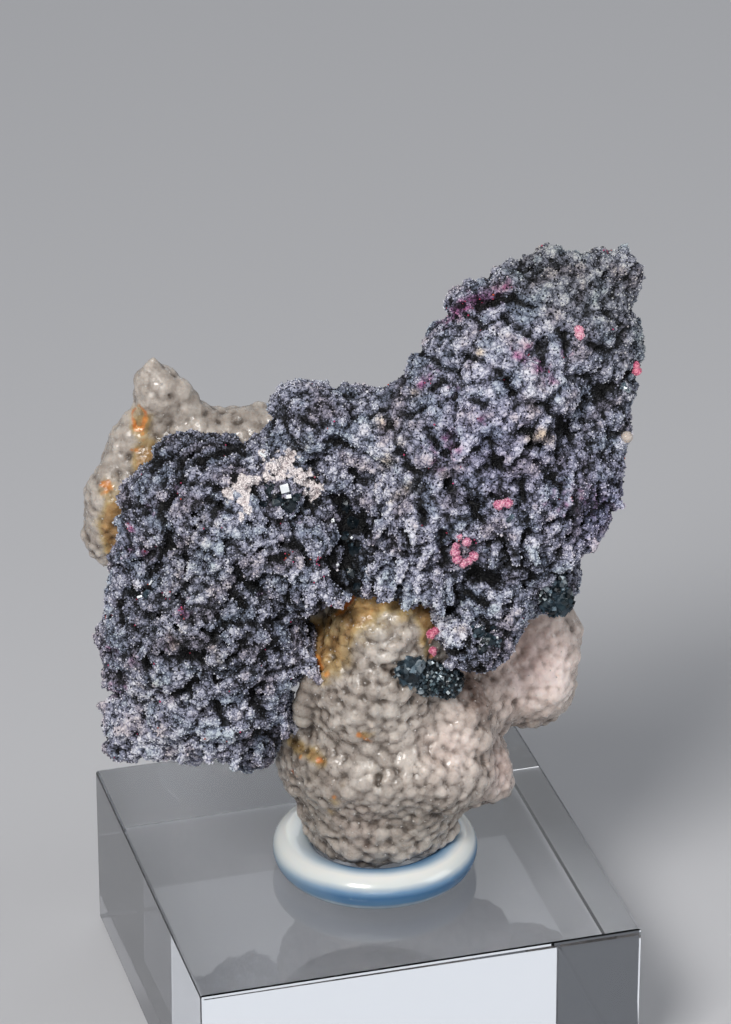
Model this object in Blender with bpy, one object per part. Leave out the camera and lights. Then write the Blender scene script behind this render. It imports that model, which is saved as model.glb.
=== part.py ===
"""Erythrite specimen: a dark nodular crust with small pink erythrite balls on a white calcite druse,
resting in a round-section ring on a clear square display block.

Metres, +Z up. The origin is the centre of the block's underside, the block's sides are parallel to X and Y.

The specimen's shape is laid out like a front elevation seen slightly from above: each lump is given by
(u, v, y): u to the right and v down, in layout units of UNIT metres, and y, its distance behind the
upright plane through the ring's centre. radii are (across, deep, high) in the same units.
"""

import math
import random

import bmesh
import bpy
from mathutils import Matrix, Vector, noise
from mathutils.bvhtree import BVHTree

# ---- driving dimensions ----------------------------------------------------------------------------
BLOCK_SIDE = 0.0635          # square block
BLOCK_HEIGHT = 0.0254
BLOCK_EDGE = 0.0004          # small polished bevel

RING_OUTER = 0.0294          # outer diameter
RING_TUBE_W = 0.0058         # width of the ring's round section
RING_TUBE_H = 0.0056         # height of the ring's round section
RING_X, RING_Y = 0.00080, -0.00430   # ring centre, seen in the block's axes

GAP = 0.0003                 # clearance between neighbouring pieces

UNIT = 0.0001427             # one layout unit in metres
TILT = math.radians(27.6)    # the elevation looks down by this much
TURN = math.radians(15.8)    # and the block is turned by this much to it
EYE = 5082.0                 # distance of the elevation's eye point, in layout units
MID_U, MID_V = 365.5, 512.0  # middle of the elevation
RING_U, RING_V = 375.0, 862.0    # where the ring's centre on the block's top is in the elevation

MATRIX_TRIS = 2700
CRUST_TRIS = 3800

# ---- clean start -----------------------------------------------------------------------------------
for ob in list(bpy.data.objects):
    bpy.data.objects.remove(ob, do_unlink=True)
for me in list(bpy.data.meshes):
    bpy.data.meshes.remove(me)


# ---- the elevation's own axes, and the way from them to the row frame ---------------------------------
FWD = Vector((0.0, math.cos(TILT), -math.sin(TILT)))
UP = Vector((0.0, math.sin(TILT), math.cos(TILT)))
RIGHT = Vector((1.0, 0.0, 0.0))


def ray(u, v):
    return FWD * EYE + RIGHT * (u - MID_U) - UP * (v - MID_V)


_d = ray(RING_U, RING_V)
EYE_POINT = -_d              # so that the ring's centre is the elevation's (0, 0, 0)


def spot(u, v, y):
    """Point of the elevation at (u, v), y units behind the ring's centre plane."""
    d = ray(u, v)
    return EYE_POINT + d * ((y - EYE_POINT.y) / d.y)


TO_ROW = (
    Matrix.Translation((RING_X, RING_Y, BLOCK_HEIGHT))
    @ Matrix.Rotation(-TURN, 4, "Z")
    @ Matrix.Scale(UNIT, 4)
)


def row(p):
    return TO_ROW @ p


# ---- helpers ---------------------------------------------------------------------------------------
def material(name, colour, roughness, metallic=0.0, alpha=1.0, transmission=0.0, ior=1.5):
    m = bpy.data.materials.new(name)
    m.use_nodes = True
    b = m.node_tree.nodes["Principled BSDF"]
    b.inputs["Base Color"].default_value = (*colour, 1.0)
    b.inputs["Roughness"].default_value = roughness
    b.inputs["Metallic"].default_value = metallic
    b.inputs["Alpha"].default_value = alpha
    b.inputs["Transmission Weight"].default_value = transmission
    b.inputs["IOR"].default_value = ior
    m.diffuse_color = (*colour, 1.0)
    return m


def new_object(name, mesh, mat=None):
    ob = bpy.data.objects.new(name, mesh)
    bpy.context.scene.collection.objects.link(ob)
    if mat:
        mesh.materials.append(mat)
    return ob


def evaluated(ob):
    """The object's mesh with its modifiers done."""
    dg = bpy.context.evaluated_depsgraph_get()
    dg.update()
    return bpy.data.meshes.new_from_object(ob.evaluated_get(dg))


def settle(ob):
    """Apply all modifiers."""
    me = evaluated(ob)
    old = ob.data
    ob.modifiers.clear()
    ob.data = me
    bpy.data.meshes.remove(old)
    return ob


def lump(bm, u, v, y, radii, roll=0.0, yaw=0.0, sub=3):
    """An ellipsoid of the layout. roll turns it in the elevation (degrees, towards the right is positive),
    yaw turns it about the upright."""
    m = (
        TO_ROW
        @ Matrix.Translation(spot(u, v, y))
        @ Matrix.Rotation(math.radians(yaw), 4, "Z")
        @ Matrix.Rotation(math.radians(roll), 4, "Y")
        @ Matrix.Diagonal((*radii, 1.0))
    )
    bmesh.ops.create_icosphere(bm, subdivisions=sub, radius=1.0, matrix=m)


def lumps_object(name, lumps, voxel, smooth, sub=3):
    """All lumps grown together as one closed skin."""
    bm = bmesh.new()
    for l in lumps:
        lump(bm, *l[:4], roll=l[4] if len(l) > 4 else 0.0, yaw=l[5] if len(l) > 5 else 0.0, sub=sub)
    me = bpy.data.meshes.new(name)
    bm.to_mesh(me)
    bm.free()
    ob = new_object(name, me)
    r = ob.modifiers.new("grow_together", "REMESH")
    r.mode = "VOXEL"
    r.voxel_size = voxel
    r.adaptivity = 0.0
    if smooth:
        s = ob.modifiers.new("soften", "SMOOTH")
        s.factor = 0.5
        s.iterations = smooth
    return settle(ob)


def roughen(ob, scales, seed):
    """Push every vertex along its normal by layered noise: (wavelength m, height m, ridged)."""
    me = ob.data
    shift = Vector((seed * 3.17, seed * 7.31, seed * 1.93))
    moved = []
    for v in me.vertices:
        h = 0.0
        for wave, height, kind in scales:
            q = v.co / wave + shift
            if kind == "cells":      # rounded knobs with creases between them
                d = noise.voronoi(q, distance_metric="DISTANCE")[0]
                h += height * (0.55 - min(d[0], 1.0))
            else:
                h += height * noise.noise(q)
        moved.append(v.co + v.normal * h)
    for v, co in zip(me.vertices, moved):
        v.co = co
    me.update()


def thin_out(ob, tris):
    """Collapse to about this many triangles."""
    n = sum(len(p.vertices) - 2 for p in ob.data.polygons)
    t = ob.modifiers.new("tri", "TRIANGULATE")
    d = ob.modifiers.new("thin_out", "DECIMATE")
    d.ratio = min(1.0, tris / n)
    return settle(ob)


def keep_biggest(ob):
    """Leave only the biggest connected shell."""
    bm = bmesh.new()
    bm.from_mesh(ob.data)
    bm.verts.ensure_lookup_table()
    seen, groups = set(), []
    for v in bm.verts:
        if v.index in seen:
            continue
        stack, group = [v], []
        seen.add(v.index)
        while stack:
            w = stack.pop()
            group.append(w)
            for e in w.link_edges:
                o = e.other_vert(w)
                if o.index not in seen:
                    seen.add(o.index)
                    stack.append(o)
        groups.append(group)
    groups.sort(key=len)
    for g in groups[:-1]:
        bmesh.ops.delete(bm, geom=g, context="VERTS")
    bmesh.ops.dissolve_degenerate(bm, dist=1e-6, edges=bm.edges)
    bmesh.ops.triangulate(bm, faces=bm.faces)
    bm.to_mesh(ob.data)
    bm.free()
    return ob


def tree_of(*obs):
    verts, polys = [], []
    for ob in obs:
        n = len(verts)
        verts += [ob.matrix_world @ v.co for v in ob.data.vertices]
        polys += [[n + i for i in p.vertices] for p in ob.data.polygons]
    return BVHTree.FromPolygons(verts, polys)


EYE_ROW = row(EYE_POINT)


def front_hit(tree, u, v):
    """The first point of the specimen met at (u, v) of the elevation, and its face normal."""
    d = (row(spot(u, v, 0.0)) - EYE_ROW).normalized()
    co, no, _, _ = tree.ray_cast(EYE_ROW, d)
    return co, no, d


def stand_clear(ob, tree, way, gap=GAP, step=0.00005, most=0.006):
    """Move the object along way until it is gap clear of everything in the tree."""
    def clear():
        worst = 1.0
        for v in ob.data.vertices:
            p = v.co
            co, no, _, dist = tree.find_nearest(p)
            side = (p - co).dot(no)
            worst = min(worst, dist if side > 0 else -dist)
        own = BVHTree.FromPolygons([v.co for v in ob.data.vertices], [list(p.vertices) for p in ob.data.polygons])
        return worst, bool(own.overlap(tree))
    gone = 0.0
    while gone < most:
        worst, cuts = clear()
        if worst >= gap and not cuts:
            break
        ob.data.transform(Matrix.Translation(way * step))
        gone += step
    ob.data.update()
    return gone


def draw_near(ob, tree, gap=GAP):
    """Move the object straight towards the nearest surface until only the gap is left."""
    for _ in range(12):
        best = None
        for v in ob.data.vertices:
            co, no, _, dist = tree.find_nearest(v.co)
            if best is None or dist < best[0]:
                best = (dist, co - v.co)
        if best[0] < gap + 0.00003:
            break
        ob.data.transform(Matrix.Translation(best[1].normalized() * (best[0] - gap - 0.00002)))
    ob.data.update()


# ---- materials ---------------------------------------------------------------------------------------
ACRYLIC = material("clear_acrylic", (0.90, 0.95, 0.98), 0.03, transmission=1.0, ior=1.49)
RING = material("milky_acrylic", (0.78, 0.84, 0.88), 0.18, transmission=0.4, ior=1.49)
DRUSE = material("calcite", (0.62, 0.57, 0.54), 0.35)
CRUST = material("dark_crust_mineral", (0.20, 0.20, 0.25), 0.6, metallic=0.1)
CRYSTAL = material("blue_black_crystal", (0.05, 0.08, 0.11), 0.3, metallic=0.5)
PINK = material("erythrite_pink", (0.80, 0.24, 0.40), 0.5)

# ---- display block -----------------------------------------------------------------------------------
bm = bmesh.new()
bmesh.ops.create_cube(
    bm, size=1.0,
    matrix=Matrix.Translation((0, 0, BLOCK_HEIGHT / 2)) @ Matrix.Diagonal((BLOCK_SIDE, BLOCK_SIDE, BLOCK_HEIGHT, 1.0)),
)
me = bpy.data.meshes.new("display_block")
bm.to_mesh(me)
bm.free()
block = new_object("display_block", me, ACRYLIC)
b = block.modifiers.new("polished_edges", "BEVEL")
b.width = BLOCK_EDGE
b.segments = 2
b.limit_method = "ANGLE"

# ---- ring: a round section, flattened where it lies on the block, turned about the upright --------------
SECTION = 12
TURNS = 40
bm = bmesh.new()
profile = []
rc = RING_OUTER / 2 - RING_TUBE_W / 2
for i in range(SECTION):
    a = 2 * math.pi * (i + 0.5) / SECTION
    x = rc + RING_TUBE_W / 2 * math.cos(a)
    z = max(RING_TUBE_H / 2 * (1 + math.sin(a)), 0.00022)
    profile.append(bm.verts.new((RING_X + x, RING_Y, BLOCK_HEIGHT + GAP + z - 0.00022)))
edges = [bm.edges.new((profile[i], profile[(i + 1) % SECTION])) for i in range(SECTION)]
bmesh.ops.spin(
    bm, geom=profile + edges, cent=(RING_X, RING_Y, 0), axis=(0, 0, 1), angle=2 * math.pi, steps=TURNS, use_merge=True,
)
bmesh.ops.remove_doubles(bm, verts=bm.verts, dist=1e-6)
bmesh.ops.recalc_face_normals(bm, faces=bm.faces)
me = bpy.data.meshes.new("ring_stand")
bm.to_mesh(me)
bm.free()
me.shade_smooth()
ring = new_object("ring_stand", me, RING)

# ---- calcite matrix ------------------------------------------------------------------------------------
MATRIX_LUMPS = [
    # foot and front column
    (385, 799, 0, (80, 72, 56)),
    (392, 755, -4, (102, 82, 62)),
    (370, 680, -8, (66, 70, 76)),
    (382, 624, -4, (58, 60, 52)),
    (480, 770, 14, (32, 42, 36)),
    (314, 748, 4, (32, 48, 50)),
    (450, 715, 4, (46, 56, 50)),
    # right rear lobe
    (530, 672, 68, (48, 48, 54)),
    (545, 634, 74, (33, 40, 40)),
    (478, 680, 52, (54, 54, 54)),
    # left rear fin
    (152, 374, 82, (12, 11, 16)),
    (158, 398, 80, (23, 17, 36)),
    (181, 408, 78, (22, 16, 22), -40),
    (138, 458, 76, (36, 26, 47)),
    (117, 502, 66, (33, 28, 52)),
    (106, 540, 60, (20, 22, 30)),
    (216, 430, 76, (58, 24, 24)),
    (256, 424, 74, (22, 20, 16)),
    # slab between them, behind the crust
    (235, 510, 62, (108, 44, 88)),
    (270, 600, 48, (96, 50, 88)),
    (395, 500, 70, (116, 40, 100)),
    (520, 430, 78, (62, 34, 116), 28),
    (430, 612, 48, (80, 48, 66)),
]
matrix = lumps_object("calcite_matrix", MATRIX_LUMPS, 0.0011, 4)
roughen(matrix, [(0.011, 0.0011, "noise"), (0.0045, 0.0012, "cells")], 1)
thin_out(matrix, MATRIX_TRIS)
matrix.data.materials.append(DRUSE)

# ---- dark crust ------------------------------------------------------------------------------------------
CRUST_LUMPS = [
    # left lobe
    (225, 516, -4, (96, 80, 82)),
    (205, 612, -14, (97, 90, 88)),
    (214, 686, -20, (76, 74, 68)),
    (148, 716, -16, (38, 44, 36)),
    (180, 738, -24, (36, 40, 28)),
    (124, 738, -12, (12, 26, 18)),
    (126, 668, -12, (16, 30, 22)),
    (107, 631, -2, (12, 20, 14)),
    (246, 728, -4, (34, 40, 42)),
    (306, 558, -24, (42, 58, 54)),
    (284, 642, -16, (32, 50, 46)),
    (194, 472, 8, (42, 54, 36)),
    (155, 580, -4, (40, 62, 64)),
    (150, 520, 2, (28, 52, 40)),
    # saddle
    (310, 425, 18, (32, 46, 36)),
    (350, 432, 18, (58, 50, 42)),
    (345, 485, 12, (62, 46, 60)),
    (352, 545, 26, (42, 44, 60)),
    # right wing
    (416, 440, 4, (54, 60, 58)),
    (428, 518, -18, (54, 64, 80)),
    (502, 404, 2, (72, 68, 102), 24),
    (562, 332, 22, (60, 54, 78), 26),
    (606, 296, 32, (32, 38, 48)),
    (627, 270, 36, (21, 28, 25)),
    (474, 344, 14, (32, 42, 40), 40),
    (450, 350, 12, (24, 36, 26), 20),
    (428, 376, 8, (27, 38, 24)),
    (504, 306, 18, (54, 42, 33), -28),
    (466, 298, 18, (22, 28, 13), -30),
    (560, 281, 24, (42, 38, 29), -12),
    (618, 350, 34, (22, 36, 42)),
    (514, 500, -4, (80, 76, 86)),
    (572, 470, 26, (46, 56, 80)),
    (603, 392, 34, (26, 42, 72)),
    (482, 590, -4, (46, 60, 48)),
    (545, 562, 24, (32, 44, 48)),
    (384, 574, -34, (40, 42, 30)),
    (418, 578, -36, (26, 38, 30)),
    (470, 634, -42, (35, 36, 35)),
]
crust = lumps_object("dark_crust", CRUST_LUMPS, 0.0011, 3)
roughen(crust, [(0.012, 0.0014, "noise"), (0.0050, 0.0016, "cells")], 2)
thin_out(crust, CRUST_TRIS)

cutter = new_object("matrix_clearance", matrix.data.copy())
d = cutter.modifiers.new("clearance", "DISPLACE")
d.strength = 0.00045
d.mid_level = 0.0
settle(cutter)
c = crust.modifiers.new("seat_on_matrix", "BOOLEAN")
c.operation = "DIFFERENCE"
c.solver = "EXACT"
c.object = cutter
settle(crust)
keep_biggest(crust)
crust.data.materials.clear()
crust.data.materials.append(CRUST)
bpy.data.objects.remove(cutter, do_unlink=True)

# ---- small crystals and balls on the specimen ------------------------------------------------------------
host = tree_of(matrix, crust, ring, block)


def grains(name, points, tris, voxel, angular, seed):
    """Small rounded or angular grains grown together: points are (place in the row frame, radius in metres)."""
    rnd = random.Random(seed)
    bm = bmesh.new()
    for co, r in points:
        axis = Vector((rnd.uniform(-1, 1), rnd.uniform(-1, 1), rnd.uniform(-1, 1))).normalized()
        m = Matrix.Translation(co) @ Matrix.Rotation(rnd.uniform(0, 3), 4, axis)
        if angular:
            m = m @ Matrix.Diagonal((r * rnd.uniform(0.9, 1.15), r * rnd.uniform(0.9, 1.15), r * rnd.uniform(0.9, 1.15), 1))
            bmesh.ops.create_icosphere(bm, subdivisions=1, radius=1.0, matrix=m)
        else:
            bmesh.ops.create_icosphere(bm, subdivisions=2, radius=r, matrix=m)
    me = bpy.data.meshes.new(name)
    bm.to_mesh(me)
    bm.free()
    ob = new_object(name, me)
    if len(points) > 1:
        r = ob.modifiers.new("grow_together", "REMESH")
        r.mode = "VOXEL"
        r.voxel_size = voxel
        settle(ob)
        keep_biggest(ob)
        thin_out(ob, tris)
    ob.data.materials.clear()
    return ob


def seated_crystal(name, balls, tris, seed):
    """Angular crystals that sit in the surface: what would reach into it is cut away, with clearance."""
    points = []
    for u, v, r in balls:
        co, normal, d = front_hit(host, u, v)
        points.append((co + normal * r * UNIT * 0.25, r * UNIT))
    ob = grains(name, points, tris, 0.0004, True, seed)
    for other in (matrix, crust):
        skin = new_object("clearance", other.data.copy())
        d = skin.modifiers.new("clearance", "DISPLACE")
        d.strength = 0.0004
        d.mid_level = 0.0
        settle(skin)
        c = ob.modifiers.new("seat", "BOOLEAN")
        c.operation = "DIFFERENCE"
        c.solver = "EXACT"
        c.object = skin
        settle(ob)
        bpy.data.objects.remove(skin, do_unlink=True)
    keep_biggest(ob)
    ob.data.materials.clear()
    ob.data.materials.append(CRYSTAL)
    return ob


def cluster(name, mat, balls, tris, seed, depth=None):
    """Small balls grown together, set on the surface: each ball is (u, v, radius in units). A cluster that
    hangs beside the surface is given its depth."""
    u0 = sum(b[0] for b in balls) / len(balls)
    v0 = sum(b[1] for b in balls) / len(balls)
    if depth is None:
        hit, normal, d = front_hit(host, u0, v0)
        while hit is None:           # beside the specimen: step inwards until it is met
            u0 -= 1.0
            hit, normal, d = front_hit(host, u0, v0)
    else:
        hit = row(spot(u0, v0, depth))
        d = (hit - EYE_ROW).normalized()
        normal = -d
    points = []
    for u, v, r in balls:
        co = front_hit(host, u, v)[0] if depth is None else None
        if co is None or (co - hit).length > 4 * r * UNIT + 0.003:
            co = EYE_ROW + (row(spot(u, v, 0)) - EYE_ROW).normalized() * (hit - EYE_ROW).length
        points.append((co, r * UNIT))
    ob = grains(name, points, tris, 0.00022, False, seed)
    ob.data.materials.append(mat)
    stand_clear(ob, host, (normal * 0.6 - d * 0.8).normalized())
    draw_near(ob, host)
    return ob


seated_crystal("dark_crystal_front", [(409, 670, 17), (427, 678, 19), (446, 681, 18)], 220, seed=3)
seated_crystal("dark_crystal_right", [(549, 585, 17), (556, 599, 17)], 160, seed=5)
cluster("erythrite_front", PINK, [(455, 539, 4), (464, 541, 4), (458, 548, 5), (453, 554, 4.5), (461, 556, 5), (468, 558, 4), (474, 551, 4), (457, 562, 4)], 260, seed=7)
cluster("erythrite_mid", PINK, [(498, 505, 4.5), (503, 503, 3.5), (508, 503, 4.5)], 160, seed=11)
cluster("erythrite_top", PINK, [(579, 330, 4.5), (580, 335, 4.5)], 120, seed=13)
cluster("erythrite_edge", PINK, [(636, 366, 4.0), (637, 371, 4.5)], 120, seed=17)
cluster("erythrite_low_a", PINK, [(431, 634, 4.5), (435, 631, 4.0)], 120, seed=19, depth=-66)
cluster("erythrite_low_b", PINK, [(432, 649, 4.0), (434, 653, 3.5)], 120, seed=23, depth=-66)
cluster("calcite_ball", DRUSE, [(627, 437, 5.5)], 80, seed=29)
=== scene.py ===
import math

import bmesh
import bpy
import numpy as np
from mathutils import Matrix, Vector, noise
from mathutils.bvhtree import BVHTree
from mathutils.kdtree import KDTree


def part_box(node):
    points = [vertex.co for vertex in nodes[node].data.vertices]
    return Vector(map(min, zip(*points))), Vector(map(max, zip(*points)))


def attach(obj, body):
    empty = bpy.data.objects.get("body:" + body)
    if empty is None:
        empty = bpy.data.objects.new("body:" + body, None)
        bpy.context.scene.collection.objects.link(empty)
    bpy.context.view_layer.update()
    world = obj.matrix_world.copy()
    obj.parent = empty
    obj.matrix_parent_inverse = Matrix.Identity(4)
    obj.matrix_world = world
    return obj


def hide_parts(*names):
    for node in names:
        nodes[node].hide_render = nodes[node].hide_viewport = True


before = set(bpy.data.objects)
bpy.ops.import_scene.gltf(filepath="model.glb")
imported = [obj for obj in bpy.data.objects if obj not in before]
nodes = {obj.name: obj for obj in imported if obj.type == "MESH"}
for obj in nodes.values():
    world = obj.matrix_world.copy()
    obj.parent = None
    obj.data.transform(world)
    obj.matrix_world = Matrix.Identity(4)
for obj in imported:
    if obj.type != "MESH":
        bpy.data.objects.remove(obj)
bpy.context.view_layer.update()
scene = bpy.context.scene

# ---------------------------------------------------------------------------------------------------
# the layout's own axes: (u, v) is a point of the front elevation seen from above at TILT, and y is the
# distance behind the ring's upright plane, all in layout units
# ---------------------------------------------------------------------------------------------------
UNIT = 0.0001427
TILT = math.radians(27.6)
TURN = math.radians(15.8)
EYE = 5082.0
MID_U, MID_V = 365.5, 512.0
RING_U, RING_V = 375.0, 862.0
RING_X, RING_Y = 0.00080, -0.00430
BLOCK_HEIGHT = 0.0254

FWD = np.array((0.0, math.cos(TILT), -math.sin(TILT)))
UP = np.array((0.0, math.sin(TILT), math.cos(TILT)))
RIGHT = np.array((1.0, 0.0, 0.0))
EYE_POINT = -(FWD * EYE + RIGHT * (RING_U - MID_U) - UP * (RING_V - MID_V))
_c, _s = math.cos(TURN), math.sin(TURN)
SPIN = np.array(((_c, _s, 0.0), (-_s, _c, 0.0), (0.0, 0.0, 1.0)))


def to_row(p):
    return (SPIN @ np.asarray(p, float)) * UNIT + np.array((RING_X, RING_Y, BLOCK_HEIGHT))


def spot(u, v, y):
    d = FWD * EYE + RIGHT * (u - MID_U) - UP * (v - MID_V)
    return to_row(EYE_POINT + d * ((y - EYE_POINT[1]) / d[1]))


def depth_of(p):
    """The layout's y of a point of the row frame."""
    return float((SPIN.T @ ((np.asarray(p, float) - np.array((RING_X, RING_Y, BLOCK_HEIGHT))) / UNIT))[1])


EYE_ROW = to_row(EYE_POINT)
VIEW = SPIN @ FWD                      # the way the elevation looks, in the row frame
VIEW_RIGHT = SPIN @ RIGHT
VIEW_UP = SPIN @ UP


def elevation(P):
    """(u, v) of points in the row frame."""
    E = P - EYE_ROW
    z = E @ VIEW
    return MID_U + EYE * (E @ VIEW_RIGHT) / z, MID_V - EYE * (E @ VIEW_UP) / z


# ---------------------------------------------------------------------------------------------------
# mesh helpers
# ---------------------------------------------------------------------------------------------------
def mesh_object(name, V, F, smooth=True):
    """F is an (n, 3) or (n, 4) array of vertex numbers."""
    me = bpy.data.meshes.new(name)
    V = np.ascontiguousarray(V, np.float32)
    F = np.ascontiguousarray(F, np.int32)
    k = F.shape[1]
    me.vertices.add(len(V))
    me.vertices.foreach_set("co", V.ravel())
    me.loops.add(F.size)
    me.loops.foreach_set("vertex_index", F.ravel())
    me.polygons.add(len(F))
    me.polygons.foreach_set("loop_start", np.arange(0, F.size, k, dtype=np.int32))
    me.update(calc_edges=True)
    if smooth:
        me.shade_smooth()
    else:
        me.shade_flat()
    ob = bpy.data.objects.new(name, me)
    scene.collection.objects.link(ob)
    return ob


def arrays(me, want=3):
    """Vertices, and triangles (3) or the polygons as they are (4, all quads)."""
    V = np.empty(len(me.vertices) * 3, np.float32)
    me.vertices.foreach_get("co", V)
    V = V.reshape(-1, 3).astype(float)
    if want == 4:
        F = np.empty(len(me.loops), np.int32)
        me.loops.foreach_get("vertex_index", F)
        return V, F.reshape(-1, 4)
    me.calc_loop_triangles()
    T = np.empty(len(me.loop_triangles) * 3, np.int32)
    me.loop_triangles.foreach_get("vertices", T)
    return V, T.reshape(-1, 3)


def drop(ob):
    me = ob.data
    bpy.data.objects.remove(ob, do_unlink=True)
    bpy.data.meshes.remove(me)


def evaluated(ob):
    dg = bpy.context.evaluated_depsgraph_get()
    dg.update()
    me = bpy.data.meshes.new_from_object(ob.evaluated_get(dg))
    return me


def fused(V, T, voxel):
    """One closed skin round everything, as quads."""
    ob = mesh_object("tmp", V, T)
    m = ob.modifiers.new("fuse", "REMESH")
    m.mode = "VOXEL"
    m.voxel_size = voxel
    m.adaptivity = 0.0
    me = evaluated(ob)
    drop(ob)
    out = arrays(me, 4)
    bpy.data.meshes.remove(me)
    return out


def node_skin(name):
    """A CAD node's surface as arrays with its corners joined."""
    bm = bmesh.new()
    bm.from_mesh(nodes[name].data)
    bmesh.ops.remove_doubles(bm, verts=bm.verts, dist=2e-6)
    bmesh.ops.triangulate(bm, faces=bm.faces)
    me = bpy.data.meshes.new("tmp")
    bm.to_mesh(me)
    bm.free()
    out = arrays(me)
    bpy.data.meshes.remove(me)
    return out


def tri_of(F):
    return F if F.shape[1] == 3 else np.concatenate((F[:, [0, 1, 2]], F[:, [0, 2, 3]]))


def edges_of(F):
    k = F.shape[1]
    E = np.concatenate([F[:, [i, (i + 1) % k]] for i in range(k)])
    E.sort(axis=1)
    return np.unique(E, axis=0)


def smoothed(V, E, times, factor=0.6):
    n = len(V)
    a, b = E[:, 0], E[:, 1]
    deg = np.bincount(a, minlength=n) + np.bincount(b, minlength=n)
    deg = np.maximum(deg, 1)[:, None]
    W = V.copy()
    for _ in range(times):
        S = np.stack([np.bincount(a, W[b, i], n) + np.bincount(b, W[a, i], n) for i in range(W.shape[1])], 1)
        W = W + factor * (S / deg - W)
    return W


def vertex_normals(V, F):
    T = tri_of(F)
    fn = np.cross(V[T[:, 1]] - V[T[:, 0]], V[T[:, 2]] - V[T[:, 0]])
    N = np.stack([sum(np.bincount(T[:, j], fn[:, i], len(V)) for j in range(3)) for i in range(3)], 1)
    return N / (np.linalg.norm(N, axis=1, keepdims=True) + 1e-20)


def scatter(V, T, n, rng, weight=None):
    """n random points over the surface: places and face normals."""
    fn = np.cross(V[T[:, 1]] - V[T[:, 0]], V[T[:, 2]] - V[T[:, 0]])
    a = np.linalg.norm(fn, axis=1)
    w = a if weight is None else a * weight
    c = np.cumsum(w)
    i = np.searchsorted(c, rng.random(n) * c[-1])
    i = np.minimum(i, len(T) - 1)
    r1, r2 = np.sqrt(rng.random(n)), rng.random(n)
    P = (1 - r1)[:, None] * V[T[i, 0]] + (r1 * (1 - r2))[:, None] * V[T[i, 1]] + (r1 * r2)[:, None] * V[T[i, 2]]
    return P, fn[i] / (a[i][:, None] + 1e-20), i


def spaced(P, gap):
    """The numbers of points kept so that no two are nearer than gap (one distance, or one for each point)."""
    gap = np.broadcast_to(np.asarray(gap, float), (len(P),))
    cell = float(gap.max())
    K = np.floor(P / cell).astype(int)
    grid, keep = {}, []
    Pl, Kl, Gl = P.tolist(), K.tolist(), (gap ** 2).tolist()
    for i, (p, k, g) in enumerate(zip(Pl, Kl, Gl)):
        ok = True
        for dx in (-1, 0, 1):
            for dy in (-1, 0, 1):
                for dz in (-1, 0, 1):
                    for q in grid.get((k[0] + dx, k[1] + dy, k[2] + dz), ()):
                        if (p[0] - q[0]) ** 2 + (p[1] - q[1]) ** 2 + (p[2] - q[2]) ** 2 < g:
                            ok = False
                            break
                    if not ok:
                        break
                if not ok:
                    break
            if not ok:
                break
        if ok:
            grid.setdefault(tuple(k), []).append(p)
            keep.append(i)
    return np.array(keep, int)


def template(sub):
    bm = bmesh.new()
    bmesh.ops.create_icosphere(bm, subdivisions=sub, radius=1.0)
    me = bpy.data.meshes.new("tmp")
    bm.to_mesh(me)
    bm.free()
    out = arrays(me)
    bpy.data.meshes.remove(me)
    return out


ICO = {1: template(1), 2: template(2), 3: template(3)}
OCTA = (
    np.array(((1, 0, 0), (-1, 0, 0), (0, 1, 0), (0, -1, 0), (0, 0, 1), (0, 0, -1)), float),
    np.array(((0, 2, 4), (2, 1, 4), (1, 3, 4), (3, 0, 4), (2, 0, 5), (1, 2, 5), (3, 1, 5), (0, 3, 5))),
)
CUBE = (
    np.array([(x, y, z) for x in (-1, 1) for y in (-1, 1) for z in (-1, 1)], float) * 0.62,
    np.array(((0, 1, 3), (0, 3, 2), (4, 6, 7), (4, 7, 5), (0, 4, 5), (0, 5, 1), (2, 3, 7), (2, 7, 6), (0, 2, 6), (0, 6, 4), (1, 5, 7), (1, 7, 3))),
)


def turns(n, rng):
    """n random rotations."""
    q = rng.normal(size=(n, 4))
    q /= np.linalg.norm(q, axis=1, keepdims=True)
    w, x, y, z = q.T
    return np.stack((
        np.stack((1 - 2 * (y * y + z * z), 2 * (x * y - z * w), 2 * (x * z + y * w)), 1),
        np.stack((2 * (x * y + z * w), 1 - 2 * (x * x + z * z), 2 * (y * z - x * w)), 1),
        np.stack((2 * (x * z - y * w), 2 * (y * z + x * w), 1 - 2 * (x * x + y * y)), 1),
    ), 1)


def copies(shape, centres, radii, rng, jitter=0.0, stretch=0.0):
    """Many copies of a small closed shape, each turned at random."""
    TV, TT = shape
    n, k = len(centres), len(TV)
    radii = np.broadcast_to(np.asarray(radii, float), (n,))
    S = np.ones((n, 1, 3)) + stretch * rng.uniform(-1, 1, (n, 1, 3))
    L = np.broadcast_to(TV, (n, k, 3)) * S
    if jitter:
        L = L * (1 + jitter * rng.uniform(-1, 1, (n, k, 1)))
    W = np.einsum("nij,nkj->nki", turns(n, rng), L) * radii[:, None, None] + centres[:, None, :]
    T = TT[None] + (np.arange(n) * k)[:, None, None]
    return W.reshape(-1, 3), T.reshape(-1, 3)


def join(*parts):
    Vs, Ts, n = [], [], 0
    for V, T in parts:
        Vs.append(V)
        Ts.append(T + n)
        n += len(V)
    return np.concatenate(Vs), np.concatenate(Ts)


def attribute(ob, name, values):
    values = np.ascontiguousarray(values, np.float32)
    a = ob.data.attributes.new(name, "FLOAT", "POINT")
    a.data.foreach_set("value", values)


def field(P, wave, seed=0, octaves=2):
    """Smooth noise in about -1..1 at each point."""
    off = Vector((seed * 5.3, seed * 2.7, seed * 8.1))
    out = np.empty(len(P))
    for i, p in enumerate((P / wave).tolist()):
        q = Vector(p) + off
        h = noise.noise(q)
        if octaves > 1:
            h += 0.5 * noise.noise(q * 2.03 + off)
        out[i] = h
    return out


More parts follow.
